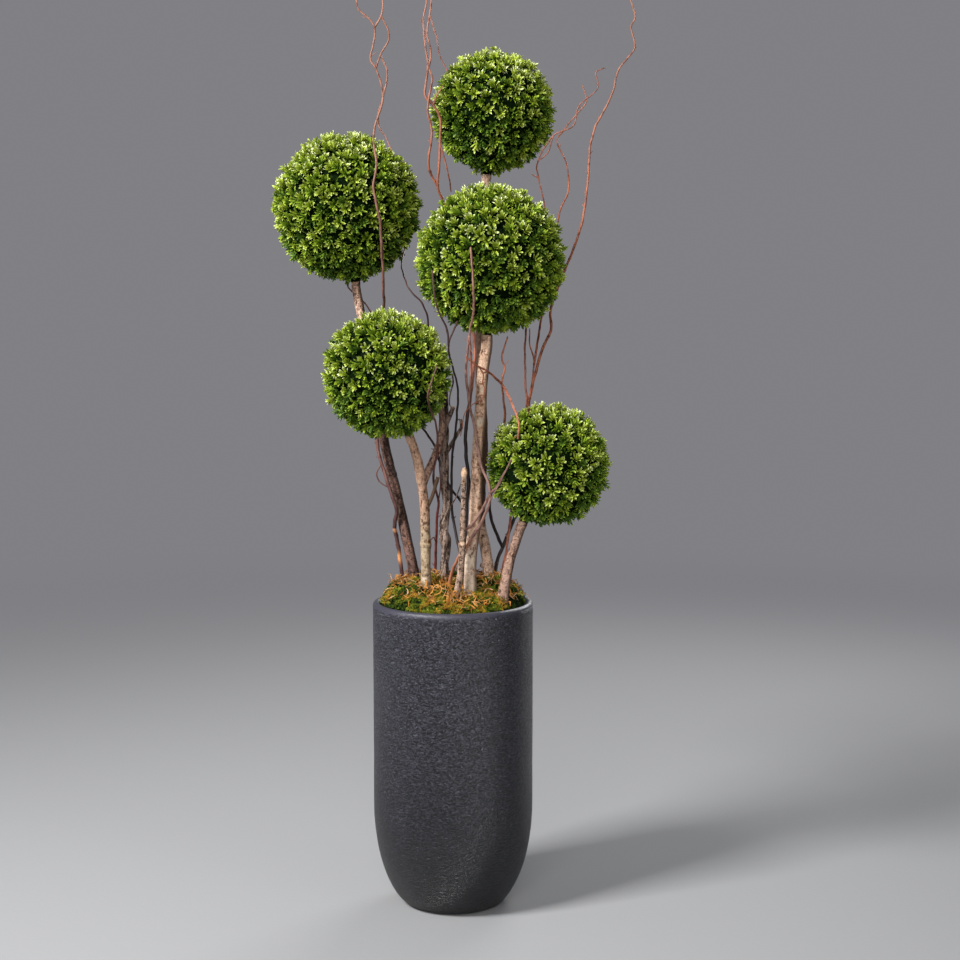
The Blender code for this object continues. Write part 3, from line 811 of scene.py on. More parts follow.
@dataclass
class Planter:
    """The tall round planter and the set filling in it."""

    radius: float = 0.200
    height: float = 0.768
    foot_radius: float = 0.113
    wall: float = 0.020
    floor: float = 0.030
    lip: float = 0.009
    rounding_height: float = 0.250
    rounding_power: float = 1.25
    steps: int = 160
    side_rings: int = 24
    unevenness: float = 0.0007

    def rounded_bottom(self, foot: float, side: float, low: float,
                       count: int) -> list[tuple[float, float]]:
        """Rounds the bottom, from the foot's edge up to the straight side.

        Args:
            foot: the radius of the foot.
            side: the radius of the side.
            low: the height of the foot.
            count: the number of steps.

        Returns:
            The (radius, height) points.
        """
        points = []
        for step in range(count + 1):
            bend = math.pi / 2 * step / count
            points.append((foot + (side - foot) * math.sin(bend) ** self.rounding_power,
                           low + (self.rounding_height - low) * (1 - math.cos(bend))))
        return points

    def profile(self) -> list[tuple[float, float]]:
        """Draws the wall, from the axis under the foot round to the axis inside.

        Returns:
            The (radius, height) points.
        """
        outer = self.rounded_bottom(self.foot_radius, self.radius, 0.0, 26)
        inner = self.rounded_bottom(self.foot_radius - self.wall / 2, self.radius - self.wall,
                                    self.floor, 10)
        straight = self.height - self.lip - self.rounding_height
        side = [(self.radius, self.rounding_height + straight * part / self.side_rings)
                for part in range(1, self.side_rings)]
        middle = self.radius - self.wall / 2
        lip = [(middle + self.wall / 2 * math.cos(bend),
                self.height - self.lip + self.lip * math.sin(bend))
               for bend in (math.radians(angle) for angle in range(0, 181, 12))]
        return [(0.0, 0.0), (self.foot_radius - 0.002, 0.0), *outer[1:], *side, *lip,
                *reversed(inner), (0.0, self.floor)]

    def build(self) -> None:
        """Makes the planter and finishes the filling."""
        mesh = turned(self.profile(), self.steps)
        for point in mesh.verts:
            if 0.004 < point.co.z < self.height - self.lip:
                outward = Vector((point.co.x, point.co.y, 0.0)).normalized()
                wave = noise.noise(point.co * 9) + 0.35 * noise.noise(point.co * 60)
                point.co += outward * self.unevenness * (wave - 0.6)
        hand_over(piece_from("planter_body", mesh, PotGlaze().material()), "pot", "pot")
        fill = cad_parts["planting_fill"]
        fill.data.materials.clear()
        fill.data.materials.append(Foam().material())


@dataclass
class MossBed:
    """The mound of moss round the stems, with tufts and dry fibres on it."""

    radius: float = 0.1785
    edge: float = MOSS_EDGE
    foot: float = FOOT
    rise: float = 0.050
    middle_share: float = 0.9
    share_per_metre: float = 4.0
    steepness: float = 10.0
    lump: float = 0.008
    mound_steps: int = 120
    strands: int = 9
    tuft_shapes: int = 12
    tufts: int = 2500
    rim_tufts: int = 420
    fibre_parts: int = 10
    fibre_shapes: int = 24
    fibres: int = 1050
    collar_fibres: int = 16
    tuft_tones: tuple[tuple[int, int], ...] = (
        (0, 0), (0, 1), (0, 1), (1, 1), (1, 2), (2, 2), (2, 3), (3, 3))

    def level(self, x: float, y: float) -> float:
        """Shapes the mound, which falls off at the wall and slopes to the front.

        Args:
            x: the place across.
            y: the place in depth.

        Returns:
            The height of the moss there.
        """
        edge = (math.hypot(x, y) / self.radius) ** self.steepness
        share = min(1.0, self.middle_share + self.share_per_metre * y)
        lumps = self.lump * noise.noise(Vector((x, y, 0.0)) * 22)
        return self.edge + (self.rise * share + lumps) * (1 - edge)

    def mound(self) -> None:
        """The ground of the moss, crumbled, and dark as painted shade under the tufts."""
        rings = [1.0, 0.99, 0.97, 0.94, *(0.9 - 0.045 * part for part in range(20)), 0.0]
        profile = [(0.0, self.foot + CLEAR), (self.radius, self.foot + CLEAR),
                   *((self.radius * ring, self.edge) for ring in rings)]
        mesh = turned(profile, self.mound_steps)
        for point in mesh.verts:
            if point.co.z > self.foot + 2 * CLEAR:
                place = Vector((point.co.x, point.co.y, 0.3))
                crumbs = 0.008 * noise.noise(place * 42) + 0.002 * noise.noise(place * 240)
                point.co.z = self.level(point.co.x, point.co.y) - 0.003 + crumbs
        piece = piece_from("moss_ground", mesh, MossTone.DEEP.value.material())
        hand_over(piece, "moss_bed", "moss_bed")

    def tuft(self, rng: random.Random) -> Sprout:
        """Makes a tuft of short curly strands, in two tones.

        Args:
            rng: the random numbers.

        Returns:
            The tuft.
        """
        mesh = bmesh.new()
        for number in range(self.strands):
            length = rng.uniform(0.006, 0.013)
            width = rng.uniform(0.0013, 0.0026)
            curl = rng.choice((-1, 1)) * rng.uniform(0.8, 3.4)
            strand = bmesh.ops.create_grid(mesh, x_segments=1, y_segments=3, size=0.5)["verts"]
            for point in strand:
                share = point.co.y + 0.5
                side = point.co.x * width * (1.0 - 0.75 * share ** 2)
                bent = curl * share
                point.co = Vector((side, length * (1 - math.cos(bent)) / curl,
                                   length * math.sin(bent) / curl))
            lean = turn(rng.uniform(0.1, 1.5), "X")
            twist = turn(rng.uniform(0, math.tau))
            round_tuft = turn(number * 2.4 + rng.uniform(-0.5, 0.5))
            shift = Matrix.Translation([rng.uniform(-reach, reach)
                                        for reach in (0.005, 0.005, 0.002)])
            bmesh.ops.transform(mesh, matrix=shift @ round_tuft @ lean @ twist, verts=strand)
            for face in faces_of(strand):
                face.material_index = number % 2
        return Sprout(mesh)

    def fibre(self, rng: random.Random) -> Sprout:
        """Makes one curly dry ribbon that lies along X.

        Args:
            rng: the random numbers.

        Returns:
            The ribbon.
        """
        length = rng.uniform(0.016, 0.044)
        curl = rng.uniform(0.4, 3.0)
        points = []
        heading = Vector((1.0, 0.0, 0.3))
        at = Vector((-length / 2, 0.0, 0.0))
        bend = rng.choice((-curl, curl))
        for _ in range(self.fibre_parts + 1):
            points.append(at.copy())
            heading.rotate(Matrix.Rotation(bend / self.fibre_parts + rng.uniform(-0.5, 0.5), 3,
                                           "Z"))
            heading.z += rng.uniform(-0.40, 0.30)
            at = at + heading.normalized() * length / self.fibre_parts
        thick = rng.uniform(0.0009, 0.0022)
        widths = [thick * (0.45 + 0.55 * math.sin(math.pi * part / self.fibre_parts)
                           * rng.uniform(0.7, 1.2)) for part in range(self.fibre_parts + 1)]
        mesh = open_mesh()
        roll_tube(mesh, Course(points, widths), 6, Relief(), flat=0.35)
        return Sprout(mesh)

    def spot(self, rng: random.Random, low: float, high: float) -> Vector:
        """Picks a random place on the mound.

        Args:
            rng: the random numbers.
            low: the least distance from the middle, as a share of the radius.
            high: the greatest one.

        Returns:
            The place, on the moss.
        """
        distance = self.radius * math.sqrt(rng.uniform(low * low, high * high))
        angle = rng.uniform(0, math.tau)
        x, y = distance * math.cos(angle), distance * math.sin(angle)
        return Vector((x, y, self.level(x, y)))

    def build(self, feet: Sequence[tuple[Vector, float]]) -> None:
        """Makes the mound, its tufts and its fibres.

        Args:
            feet: where each stem comes through the moss, and how thick it is there.
        """
        self.mound()
        rng = random.Random("moss")
        self.lay_tufts(feet, rng)
        self.lay_fibres(feet, rng)

    def lay_tufts(self, feet: Sequence[tuple[Vector, float]], rng: random.Random) -> None:
        """Covers the mound with tufts, closely along the wall, in patches of tone that are partly
        painted light and shade: darker towards the back and brighter on raised clumps.

        Args:
            feet: where each stem comes through the moss, and how thick it is there.
            rng: the random numbers.
        """
        sprouts = [self.tuft(rng) for _ in range(self.tuft_shapes)]
        spots = []
        for number in range(self.tufts + self.rim_tufts):
            rim = number >= self.tufts
            at = self.spot(rng, 0.955 if rim else 0.0, 0.992 if rim else 0.97)
            if any((at.xy - foot.xy).length < width + 0.002 for foot, width in feet):
                continue
            clump = noise.noise(Vector((at.x, at.y, 0.3)) * 42)
            # Painted light and shade: tufts at the back get darker tones and those on raised
            # clumps brighter ones, with a random spread.
            choice = 2.8 - 14.0 * at.y + 6.5 * clump + rng.uniform(-1.4, 1.4)
            tones = self.tuft_tones[int(min(max(choice, 0), len(self.tuft_tones) - 1))]
            outward = Vector((at.x, at.y, 0.0)) / self.radius
            aim = UP + (0.15 if rim else 0.45) * outward + 0.5 * Vector(
                (rng.uniform(-1, 1), rng.uniform(-1, 1), 0.0))
            size = rng.uniform(0.55, 0.85) if rim else rng.uniform(0.65, 1.15)
            lift = (0.004 if rim else 0.011) * clump
            spots.append((rng.randrange(self.tuft_shapes), Matrix.Translation(at + UP * lift)
                          @ toward(aim) @ turn(rng.uniform(0, math.tau))
                          @ Matrix.Scale(size, 4), tones))
        piece = joined("moss_tufts", sprouts, spots, (
            MossTone.DEEP, MossTone.GREEN, MossTone.BRIGHT, MossTone.GOLD))
        hand_over(piece, "moss_bed", "moss_bed")

    def lay_fibres(self, feet: Sequence[tuple[Vector, float]], rng: random.Random) -> None:
        """Lays dry fibres over the moss in patches, thickest round the feet of the stems.

        Args:
            feet: where each stem comes through the moss, and how thick it is there.
            rng: the random numbers.
        """
        sprouts = [self.fibre(rng) for _ in range(self.fibre_shapes)]
        spots = []
        for _ in range(self.fibres):
            at = self.spot(rng, 0.0, 0.94)
            sparse = rng.uniform(-0.25, 0.12) + 1.6 * max(0.0, at.y)
            if noise.noise(at * 17 + Vector((5.0, 0, 0))) < sparse:
                continue
            at.z += rng.uniform(0.002, 0.010)
            tilt = turn(rng.uniform(-0.7, 0.5), "Y")
            spots.append((rng.randrange(self.fibre_shapes), Matrix.Translation(at)
                          @ turn(rng.uniform(0, math.tau)) @ tilt
                          @ turn(rng.uniform(-1.2, 1.2), "X"),
                          (rng.choice((0, 0, 0, 1, 2)),)))
        for foot, width in feet:
            for _ in range(self.collar_fibres):
                angle = rng.uniform(0, math.tau)
                side = Vector((math.cos(angle), math.sin(angle), 0.0))
                at = foot + side * (width + rng.uniform(0.004, 0.020))
                at.z = self.level(at.x, at.y) + rng.uniform(0.002, 0.010)
                if math.hypot(at.x, at.y) > self.radius - 0.014:
                    continue
                spots.append((rng.randrange(self.fibre_shapes), Matrix.Translation(at)
                              @ turn(angle + rng.uniform(0.7, 2.4))
                              @ turn(rng.uniform(-0.9, 0.2), "Y"),
                              (rng.choice((0, 0, 1, 2)),)))
        piece = joined("moss_fibres", sprouts, spots, (
            MossTone.STRAW, MossTone.TAN, MossTone.RUST))
        hand_over(piece, "moss_bed", "moss_bed")


# ---------------------------------------------------------------- stems and twigs


class Kind(Enum):
    """What a mark in the bark is."""

    KNOT = "knot"
    RING = "ring"
    PATCH = "patch"
    SLIT = "slit"


KNOT, RING, PATCH, SLIT = Kind


@dataclass(frozen=True)
class Mark:
    """A mark in the bark at a height, on the side that faces a bearing.

    A bearing of 0 faces the front, 90 the viewer's right.
    """

    kind: Kind
    height: float
    bearing: float
    size: float
    depth: float = 0.0


def facing(outward: Vector, bearing: float) -> float:
    """How far a direction points to a bearing in degrees, from -1 to 1."""
    angle = math.radians(bearing)
    return outward.x * math.sin(angle) - outward.y * math.cos(angle)


@dataclass
class BarkRelief(Relief):
    """Lumpy bark with marks, painted shade on one side, and a dark band between two heights."""

    marks: tuple[Mark, ...] = ()
    seed: float = 0.0
    lumps: float = 0.14
    shaded_side: float = 90.0
    side_shade: float = 0.85
    shadow_and_dark_band: tuple[float, float] = (0.0, 0.0)
    band_blur: float = 0.03
    slit_height: float = 0.0018

    def at(self, point: Vector, outward: Vector, width: float,
           along: float) -> tuple[float, tuple[float, float, float]]:
        """Reads the bark at a place.

        Args:
            point: the place on the plain tube.
            outward: the way out of the tube there.
            width: the tube's radius there.
            along: the distance from the tube's start.

        Returns:
            How far the bark stands out, and its shade, pale and knot values.
        """
        where = point + Vector((0.0, 0.0, self.seed))
        stretched = Vector((where.x * 34, where.y * 34, where.z * 17))
        lift = self.lumps * width * noise.noise(stretched)
        lift += 0.04 * width * noise.noise(Vector((where.x * 150, where.y * 150,
                                                   where.z * 60)))
        # Painted shade on the side that faces the bearing shaded_side.
        shade = self.side_shade * max(0.0, facing(outward, self.shaded_side)) ** 1.5
        shade += 0.35 * max(0.0, noise.noise(stretched * 0.45) - 0.1)
        # Between two heights the bark is darkened: a painted shadow on trunk_top where it stands
        # behind trunk_middle, and the dark bark of the dark forks.
        low, high = self.shadow_and_dark_band
        if low < point.z < high:
            shade += min(1.0, (point.z - low) / self.band_blur,
                         (high - point.z) / self.band_blur)
        pale = knot = 0.0
        for mark in self.marks:
            rise = point.z - mark.height
            if abs(rise) > 4 * mark.size:
                continue
            around = width * math.acos(max(-1.0, min(1.0, facing(outward, mark.bearing))))
            if mark.kind is RING:
                wave = rise + 0.25 * mark.size * noise.noise(where * 60)
                ring = math.exp(-(wave / mark.size) ** 2)
                lift += mark.depth * ring
                shade += 0.35 * math.exp(-((abs(wave) - 1.2 * mark.size)
                                           / (0.5 * mark.size)) ** 2)
            elif mark.kind is PATCH:
                blur = 1 + 0.8 * noise.noise(where * 110)
                reach = math.hypot(around / 1.2, rise) / (mark.size * blur)
                pale = max(pale, min(1.0, max(0.0, 1.6 - 1.6 * reach)))
            elif mark.kind is SLIT:
                bend = rise - 0.35 * (around ** 2) / max(mark.size, 1e-4)
                slit = math.exp(-(bend / self.slit_height) ** 2 - (around / mark.size) ** 2)
                lift -= mark.depth * slit
                knot = max(knot, 0.95 * slit)
            else:
                reach = math.hypot(around, rise) / mark.size
                lift += mark.depth * (math.exp(-reach ** 2)
                                      - 1.5 * math.exp(-(reach / 0.42) ** 2))
                knot = max(knot, math.exp(-(reach / 0.75) ** 2))
        return lift, (min(shade, 1.0), pale, knot)


@dataclass(frozen=True)
class Limb:
    """A limb's route from foot to tip, the radii of its two ends, and its forks."""

    name: str
    radii: tuple[float, float]
    route: tuple[Point, ...]
    forks: tuple[Stretch, ...] = ()


def metres(value: Union[float, tuple]) -> Union[float, tuple]:
    """Millimetres, alone or in tuples, as metres."""
    return tuple(map(metres, value)) if isinstance(value, tuple) else value / 1000


def limb(name: str, radii: tuple[float, float], route: tuple[Point, ...],
         forks: tuple[Stretch, ...] = ()) -> Limb:
    """A limb that is given in millimetres."""
    return Limb(name, metres(radii), metres(route), metres(forks))


def marks(*rows: tuple) -> tuple[Mark, ...]:
    """Marks from rows of kind, height, bearing, size and depth, in millimetres and degrees."""
    return tuple(Mark(kind, metres(height), bearing, *metres(tuple(sizes)))
                 for kind, height, bearing, *sizes in rows)


@dataclass
class Stem:
    """A pole, bough or cut stem with its bark."""

    limb: Limb
    bark: Bark
    relief: BarkRelief
    flare: float = 0.30
    flare_height: float = 0.030
    cut: bool = False
    knob: float = 0.32
    knob_below: float = 0.007
    knob_height: float = 0.007
    dark_forks: bool = False
    moss_edge: float = MOSS_EDGE
    foot: float = FOOT
    step: float = 0.0034
    coarse_step: float = 0.012
    sides: int = 28
    fork_sides: int = 14

    def course(self, step: float) -> Course:
        """Lays the stem's line, swollen at the foot, and below its end where it is sawn off.

        Args:
            step: the distance between its points, more or less.

        Returns:
            The line.
        """
        points = smooth_route(self.limb.route, step)
        made = Course(points, [])
        along = made.along()
        root, tip = self.limb.radii
        for distance in along:
            width = root + (tip - root) * distance / along[-1]
            above = distance - (self.moss_edge - self.foot)
            swell = self.flare * math.exp(-max(above, 0.0) / self.flare_height)
            if self.cut:
                below = (along[-1] - distance - self.knob_below) / self.knob_height
                swell += self.knob * math.exp(-below ** 2)
            made.widths.append(width * (1 + swell))
        return made

    def forked(self, step: float) -> list[Course]:
        """The lines of the stem's forks."""
        return [tapered(radii, route, step) for radii, route in self.limb.forks]

    def courses(self) -> list[Course]:
        """All its lines, coarsely, for finding what is near."""
        return [self.course(self.coarse_step), *self.forked(self.coarse_step)]

    def build(self) -> None:
        """Makes the barked stem."""
        mesh = open_mesh()
        end, pale = (Cap.ROUND, 0.85) if self.cut else (Cap.FLAT, 0.0)
        roll_tube(mesh, self.course(self.step), self.sides, self.relief, end, pale)
        relief = replace(self.relief, shadow_and_dark_band=(0.0, 9.0)) if self.dark_forks else self.relief
        for course in self.forked(self.step):
            roll_tube(mesh, course, self.fork_sides, relief, Cap.FLAT, 0.5)
        piece = piece_from(f"{self.limb.name}_bark", mesh, self.bark.material())
        hand_over(piece, "pole_bark", self.limb.name)


@dataclass
class VineStem(Stem):
    """A stem of several strands that twist round each other."""

    step: float = 0.004
    sides: int = 12
    fork_sides: int = 12
    strands: int = 4
    turns_per_metre: float = 3.4
    swelling_at: float = 0.917
    swelling_reach: float = 0.014
    swelling: float = 0.32

    def strand(self, main: Course, number: int) -> Course:
        """Winds a strand round the main line.

        Args:
            main: the main line.
            number: the strand's number.

        Returns:
            The strand's line.
        """
        points, widths = [], []
        phase = math.tau * number / self.strands
        for place, width, along in zip(main.places(), main.widths, main.along()):
            above = (place.translation.z - self.swelling_at) / self.swelling_reach
            swell = 1 + self.swelling * math.exp(-above ** 2)
            wander = noise.noise(Vector((number * 7.0, along * 9, 0.0)))
            angle = phase + math.tau * self.turns_per_metre * along + 0.9 * wander
            reach = width * swell * (0.50 + 0.10 * noise.noise(
                Vector((along * 14, number * 3.0, 4.0))))
            points.append(place @ Vector((reach * math.cos(angle), reach * math.sin(angle),
                                          0.0)))
            thick = 0.50 + 0.09 * noise.noise(Vector((along * 22, number * 5.0, 1.0)))
            widths.append(width * swell * (thick + (0.06 if number == 0 else 0.0)))
        return Course(points, widths)

    def build(self) -> None:
        """Makes the twisted stem with its stubs and its thin twig."""
        mesh = open_mesh()
        main = self.course(self.step)
        for number in range(self.strands):
            roll_tube(mesh, self.strand(main, number), self.sides, self.relief)
        for course in self.forked(self.step):
            roll_tube(mesh, course, self.fork_sides, self.relief, Cap.FLAT, 0.95)
        piece = piece_from(f"{self.limb.name}_bark", mesh, self.bark.material())
        hand_over(piece, "vine_bark", self.limb.name)


@dataclass
class TwigRelief(Relief):
    """A twig's bark with a swollen node every few centimetres.

    It is bare at the heights in pales, each with its reach, and black inside the boxes.
    """

    seed: float = 0.0
    spacing: float = 0.034
    node_reach: float = 0.0032
    node_swell: float = 0.14
    lumps: float = 0.10
    pales: tuple[tuple[float, float], ...] = ()
    blacks: tuple[tuple[Point, Point], ...] = ()
    blackness: float = 1.45

    def at(self, point: Vector, outward: Vector, width: float,
           along: float) -> tuple[float, tuple[float, float, float]]:
        """Reads the twig's bark at a place.

        Args:
            point: the place on the plain tube.
            outward: the way out of the tube there.
            width: the tube's radius there.
            along: the distance from the tube's start.

        Returns:
            How far the bark stands out, and its shade, pale and knot values.
        """
        wander = 0.3 * noise.noise(Vector((along * 20, self.seed, 0.0)))
        phase = (along / self.spacing + wander + self.seed) % 1.0
        node = math.exp(-((phase - 0.5) * self.spacing / self.node_reach) ** 2)
        lift = width * (self.node_swell * node + self.lumps * noise.noise(point * 130))
        knot = node * max(0.0, 0.5 + noise.noise(point * 40))
        if any(all(start <= here <= end for start, here, end in zip(low, point, high))
               for low, high in self.blacks):
            knot = self.blackness
        pale = 0.0
        for height, reach in self.pales:
            pale = max(pale, math.exp(-((point.z - height) / reach) ** 2))
        shade = max(0.0, noise.noise(point * 30 + Vector((self.seed, 0, 0))) * 1.2 - 0.2)
        return lift, (min(shade, 1.0), pale, knot)


@dataclass
class WillowSpray:
    """Curly willow twigs from one foot, with short spurs at their nodes."""

    limb: Limb
    bark: WillowBark
    relief: TwigRelief
    step: float = 0.006
    sides: int = 8
    wobble: float = 0.0018
    wobble_ends: int = 6
    slimness: float = 0.88
    spur_share: float = 0.32
    spurs_from: float = 0.84
    spur_lengths: tuple[float, ...] = (0.003, 0.004, 0.006, 0.009, 0.014)
    spur_width: float = 0.0012

    def courses(self, step: float = 0.012, wobble: float = 0.0) -> list[Course]:
        """Lays the lines of the main twig and of its forks.

        Args:
            step: the distance between their points, more or less.
            wobble: how far the points are pushed aside, but for those near the ends.

        Returns:
            The lines.
        """
        made = []
        stretches = [(self.limb.radii, self.limb.route), *self.limb.forks]
        for number, (radii, route) in enumerate(stretches):
            course = tapered(radii, route, step, self.slimness)
            if wobble:
                count = len(course.points) - 1
                for part, point in enumerate(course.points[1:-1], 1):
                    push = Vector(noise.noise_vector(point * 38 + Vector((number, 0, 0))))
                    point += push * wobble * min(1.0, part / self.wobble_ends,
                                                 (count - part) / self.wobble_ends)
            made.append(course)
        return made

    def build(self) -> None:
        """Makes the spray as one piece."""
        rng = random.Random(self.limb.name)
        mesh = open_mesh()
        for course in self.courses(self.step, self.wobble):
            roll_tube(mesh, course, self.sides, self.relief)
            next_node = self.relief.spacing
            for place, width, distance in zip(course.places(), course.widths,
                                              course.along()):
                if distance < next_node or place.translation.z < self.spurs_from:
                    continue
                next_node = distance + self.relief.spacing * rng.uniform(0.7, 1.5)
                if rng.random() < self.spur_share:
                    self.spur(mesh, place, width, rng)
        piece = piece_from(f"{self.limb.name}_bark", mesh, self.bark.material())
        hand_over(piece, "willow_bark", self.limb.name)

    def spur(self, mesh: bmesh.types.BMesh, place: Matrix, width: float,
             rng: random.Random) -> None:
        """Adds a short side shoot that leans along its twig.

        Args:
            mesh: the bmesh that it is added to.
            place: the twig's frame there.
            width: the twig's width there.
            rng: the random numbers.
        """
        angle = rng.uniform(0, math.tau)
        side = place.to_3x3() @ Vector((math.cos(angle), math.sin(angle), 0.0))
        ahead = place.to_3x3() @ UP
        length = rng.choice(self.spur_lengths)
        start = place.translation + side * width * 0.3
        bend = Vector((rng.uniform(-1, 1), rng.uniform(-1, 1), rng.uniform(-0.5, 1))) * 0.25
        points = [start + (side * 0.8 + ahead * 0.7) * (width * 0.7 + length) * share
                  + bend * length * share ** 2 for share in (0.0, 0.35, 0.7, 1.0)]
        thick = min(0.42 * width, self.spur_width)
        widths = [thick * 1.3, thick, thick * 0.8, thick * 0.55]
        roll_tube(mesh, Course(points, widths), 5, Relief())


# ---------------------------------------------------------------- boxwood balls


@dataclass
class BoxwoodBall:
    """A clipped ball: a dark core, painted shade of the ball's inside, that sprigs of small leaves
    stand out of.

    The outer and the inner layer each have the distance between sprigs, the shares of the
    radius between which their tips lie, and how much painted light they are dealt, the inner
    layer being dealt painted shade. A whorl has the height on the stalk, the number, the lean in
    degrees and the size of its leaves. A leaf's outline is its width at the reaches along it. Its
    four tones change at the bounds, and sprig_tones deals them from the darkest sprig to the
    brightest.
    """

    name: str
    centre: Point
    radius: float
    pole: str
    core_share: float = 0.835
    cad_core_share: float = 0.91
    neck: float = 0.010
    outer: tuple[float, tuple[float, float], float] = (0.0272, (0.945, 1.022), 3.7)
    inner: tuple[float, tuple[float, float], float] = (0.0310, (0.885, 0.925), -1.4)
    leaf_length: float = 0.0252
    leaf_width: float = 0.0057
    sprig_length: float = 0.0390
    whorls: tuple[tuple[float, int, float, float], ...] = (
        (0.006, 6, 36.0, 0.95), (0.0105, 5, 20.0, 1.00), (0.0150, 2, 6.0, 0.95))
    outline: tuple[float, ...] = (0.42, 0.86, 1.0, 0.48)
    reaches: tuple[float, ...] = (0.0, 0.40, 0.80, 0.96)
    bounds: tuple[float, ...] = (0.10, 0.30, 0.70)
    sprig_shapes: int = 14
    sprig_tones: tuple[tuple[int, ...], ...] = (
        (0, 0, 1, 1), (0, 0, 1, 2), (0, 1, 1, 2), (0, 1, 2, 3), (0, 1, 2, 3), (0, 1, 3, 4),
        (0, 2, 3, 4), (0, 2, 3, 5))
    light_from_above: float = 2.2
    light_spread: float = 2.8
    push_share: float = 0.13
    lean_share: float = 0.26
    clearance: float = 0.0075

    def down(self, last: Point) -> Vector:
        """The direction from the ball's centre to its pole."""
        return (Vector(last) - Vector(self.centre)).normalized()

    def tip(self, last: Point) -> Point:
        """Where the pole ends, at the ball's neck."""
        reach = self.radius * self.cad_core_share + self.neck + CLEAR
        return tuple(Vector(self.centre) + self.down(last) * reach)

    def leaf(self, mesh: bmesh.types.BMesh, place: Matrix, length: float, curl: float) -> None:
        """Adds a finger-shaped leaf of six faces, each row of them with a tone of its own.

        Args:
            mesh: the bmesh that it is added to.
            place: the frame of its foot, with Z along it.
            length: its length.
            curl: how far its tip bends out, as a share of the length.
        """
        blade = bmesh.ops.create_grid(mesh, x_segments=2, y_segments=3, size=0.5)["verts"]
        for point in blade:
            row = round((point.co.y + 0.5) * 3)
            share = self.reaches[row]
            side = point.co.x * 2
            if row == 3 and side == 0.0:
                share = 1.0
            cup = 0.10 * abs(side) * self.outline[row]
            point.co = Vector((side * self.leaf_width / 2 * self.outline[row],
                               length * (cup - curl * share ** 2),
                               length * share * (1 - 0.06 * share)))
        for face in faces_of(blade):
            middle = sum(point.co.z for point in face.verts) / 4 / length
            face.material_index = sum(middle > bound for bound in self.bounds)
        bmesh.ops.transform(mesh, matrix=place, verts=blade)

    def sprig(self, rng: random.Random) -> Sprout:
        """Makes a sprig of whorled leaves on a short stalk along Z.

        Args:
            rng: the random numbers.

        Returns:
            The sprig.
        """
        mesh = bmesh.new()
        phase = rng.uniform(0, math.tau)
        for number, (height, count, lean, size) in enumerate(self.whorls):
            for index in range(count):
                angle = phase + number * 0.8 + math.tau * index / count
                place = (turn(angle + rng.uniform(-0.22, 0.22))
                         @ Matrix.Translation((0.0, -0.0006, height))
                         @ turn(math.radians(lean + rng.uniform(-10, 10)), "X"))
                self.leaf(mesh, place, self.leaf_length * size * rng.uniform(0.88, 1.12),
                          rng.uniform(0.02, 0.16))
        stalk = bmesh.ops.create_cone(mesh, cap_ends=False, segments=3, radius1=0.0011,
                                      radius2=0.0007, depth=0.020,
                                      matrix=Matrix.Translation((0, 0, 0.006)))["verts"]
        for face in faces_of(stalk):
            face.material_index = 0
        return Sprout(mesh)

    def core(self, down: Vector) -> None:
        """Makes the dark core, which paints the shade inside the ball, and the neck that meets the
        pole.

        Args:
            down: the direction from the ball's centre to its pole.
        """
        centre = Vector(self.centre)
        mesh = open_mesh()
        bmesh.ops.create_icosphere(mesh, subdivisions=4, radius=self.radius * self.core_share,
                                   matrix=Matrix.Translation(centre))
        for point in mesh.verts:
            outward = (point.co - centre).normalized()
            point.co += outward * 0.004 * noise.noise(point.co * 70)
        reach = self.radius * self.cad_core_share + self.neck
        ends = [centre + down * (self.radius * self.core_share - 0.010),
                centre + down * (reach - 0.010), centre + down * reach]
        roll_tube(mesh, Course(ends, [0.0125, 0.0118, 0.0108]), 20, Relief(), Cap.FLAT)
        piece = piece_from(f"{self.name}_core", mesh, LeafTone.DEEP.value.material())
        hand_over(piece, "boxwood_leaf", self.name)

    def build(self, last: Point, limbs: Sequence[Course]) -> None:
        """Makes the core and the sprigs.

        Args:
            last: the last point of the pole's own route.
            limbs: the lines of the stems and twigs, which no sprig may touch.
        """
        down = self.down(last)
        self.core(down)
        rng = random.Random(self.name + " sprigs")
        centre = Vector(self.centre)
        near = self.near_limbs(limbs)
        sprouts = [self.sprig(rng) for _ in range(self.sprig_shapes)]
        brightest = len(self.sprig_tones) - 1
        spots = []
        for pitch, (low, high), base in (self.outer, self.inner):
            count = round(4 * math.pi * (0.95 * self.radius / pitch) ** 2 / 0.95)
            for even in spread_directions(count, rng, 0.0):
                push, lean = (Vector([rng.uniform(-1.6, 1.6) for _ in range(3)])
                              for _ in range(2))
                outward = (even + self.push_share * pitch / self.radius * push).normalized()
                axis = (outward + self.lean_share * lean).normalized()
                # Painted light: sprigs that face up, and the outer layer, are dealt brighter
                # tones, and the inner layer painted shade; the random spread is real variety.
                light = (base + self.light_from_above * outward.z
                         + rng.uniform(-self.light_spread, self.light_spread))
                size = rng.uniform(0.88, 1.10)
                length = self.sprig_length * size
                start = centre + outward * self.radius * rng.uniform(low, high) - axis * length
                if self.touches(start, start + axis * length, near):
                    continue
                place = (Matrix.Translation(start) @ toward(axis)
                         @ turn(rng.uniform(0, math.tau)) @ Matrix.Scale(size, 4))
                spots.append((rng.randrange(self.sprig_shapes), place,
                              self.sprig_tones[min(max(round(light), 0), brightest)]))
        piece = joined(f"{self.name}_leaves", sprouts, spots, tuple(LeafTone))
        hand_over(piece, "boxwood_leaf", self.name)

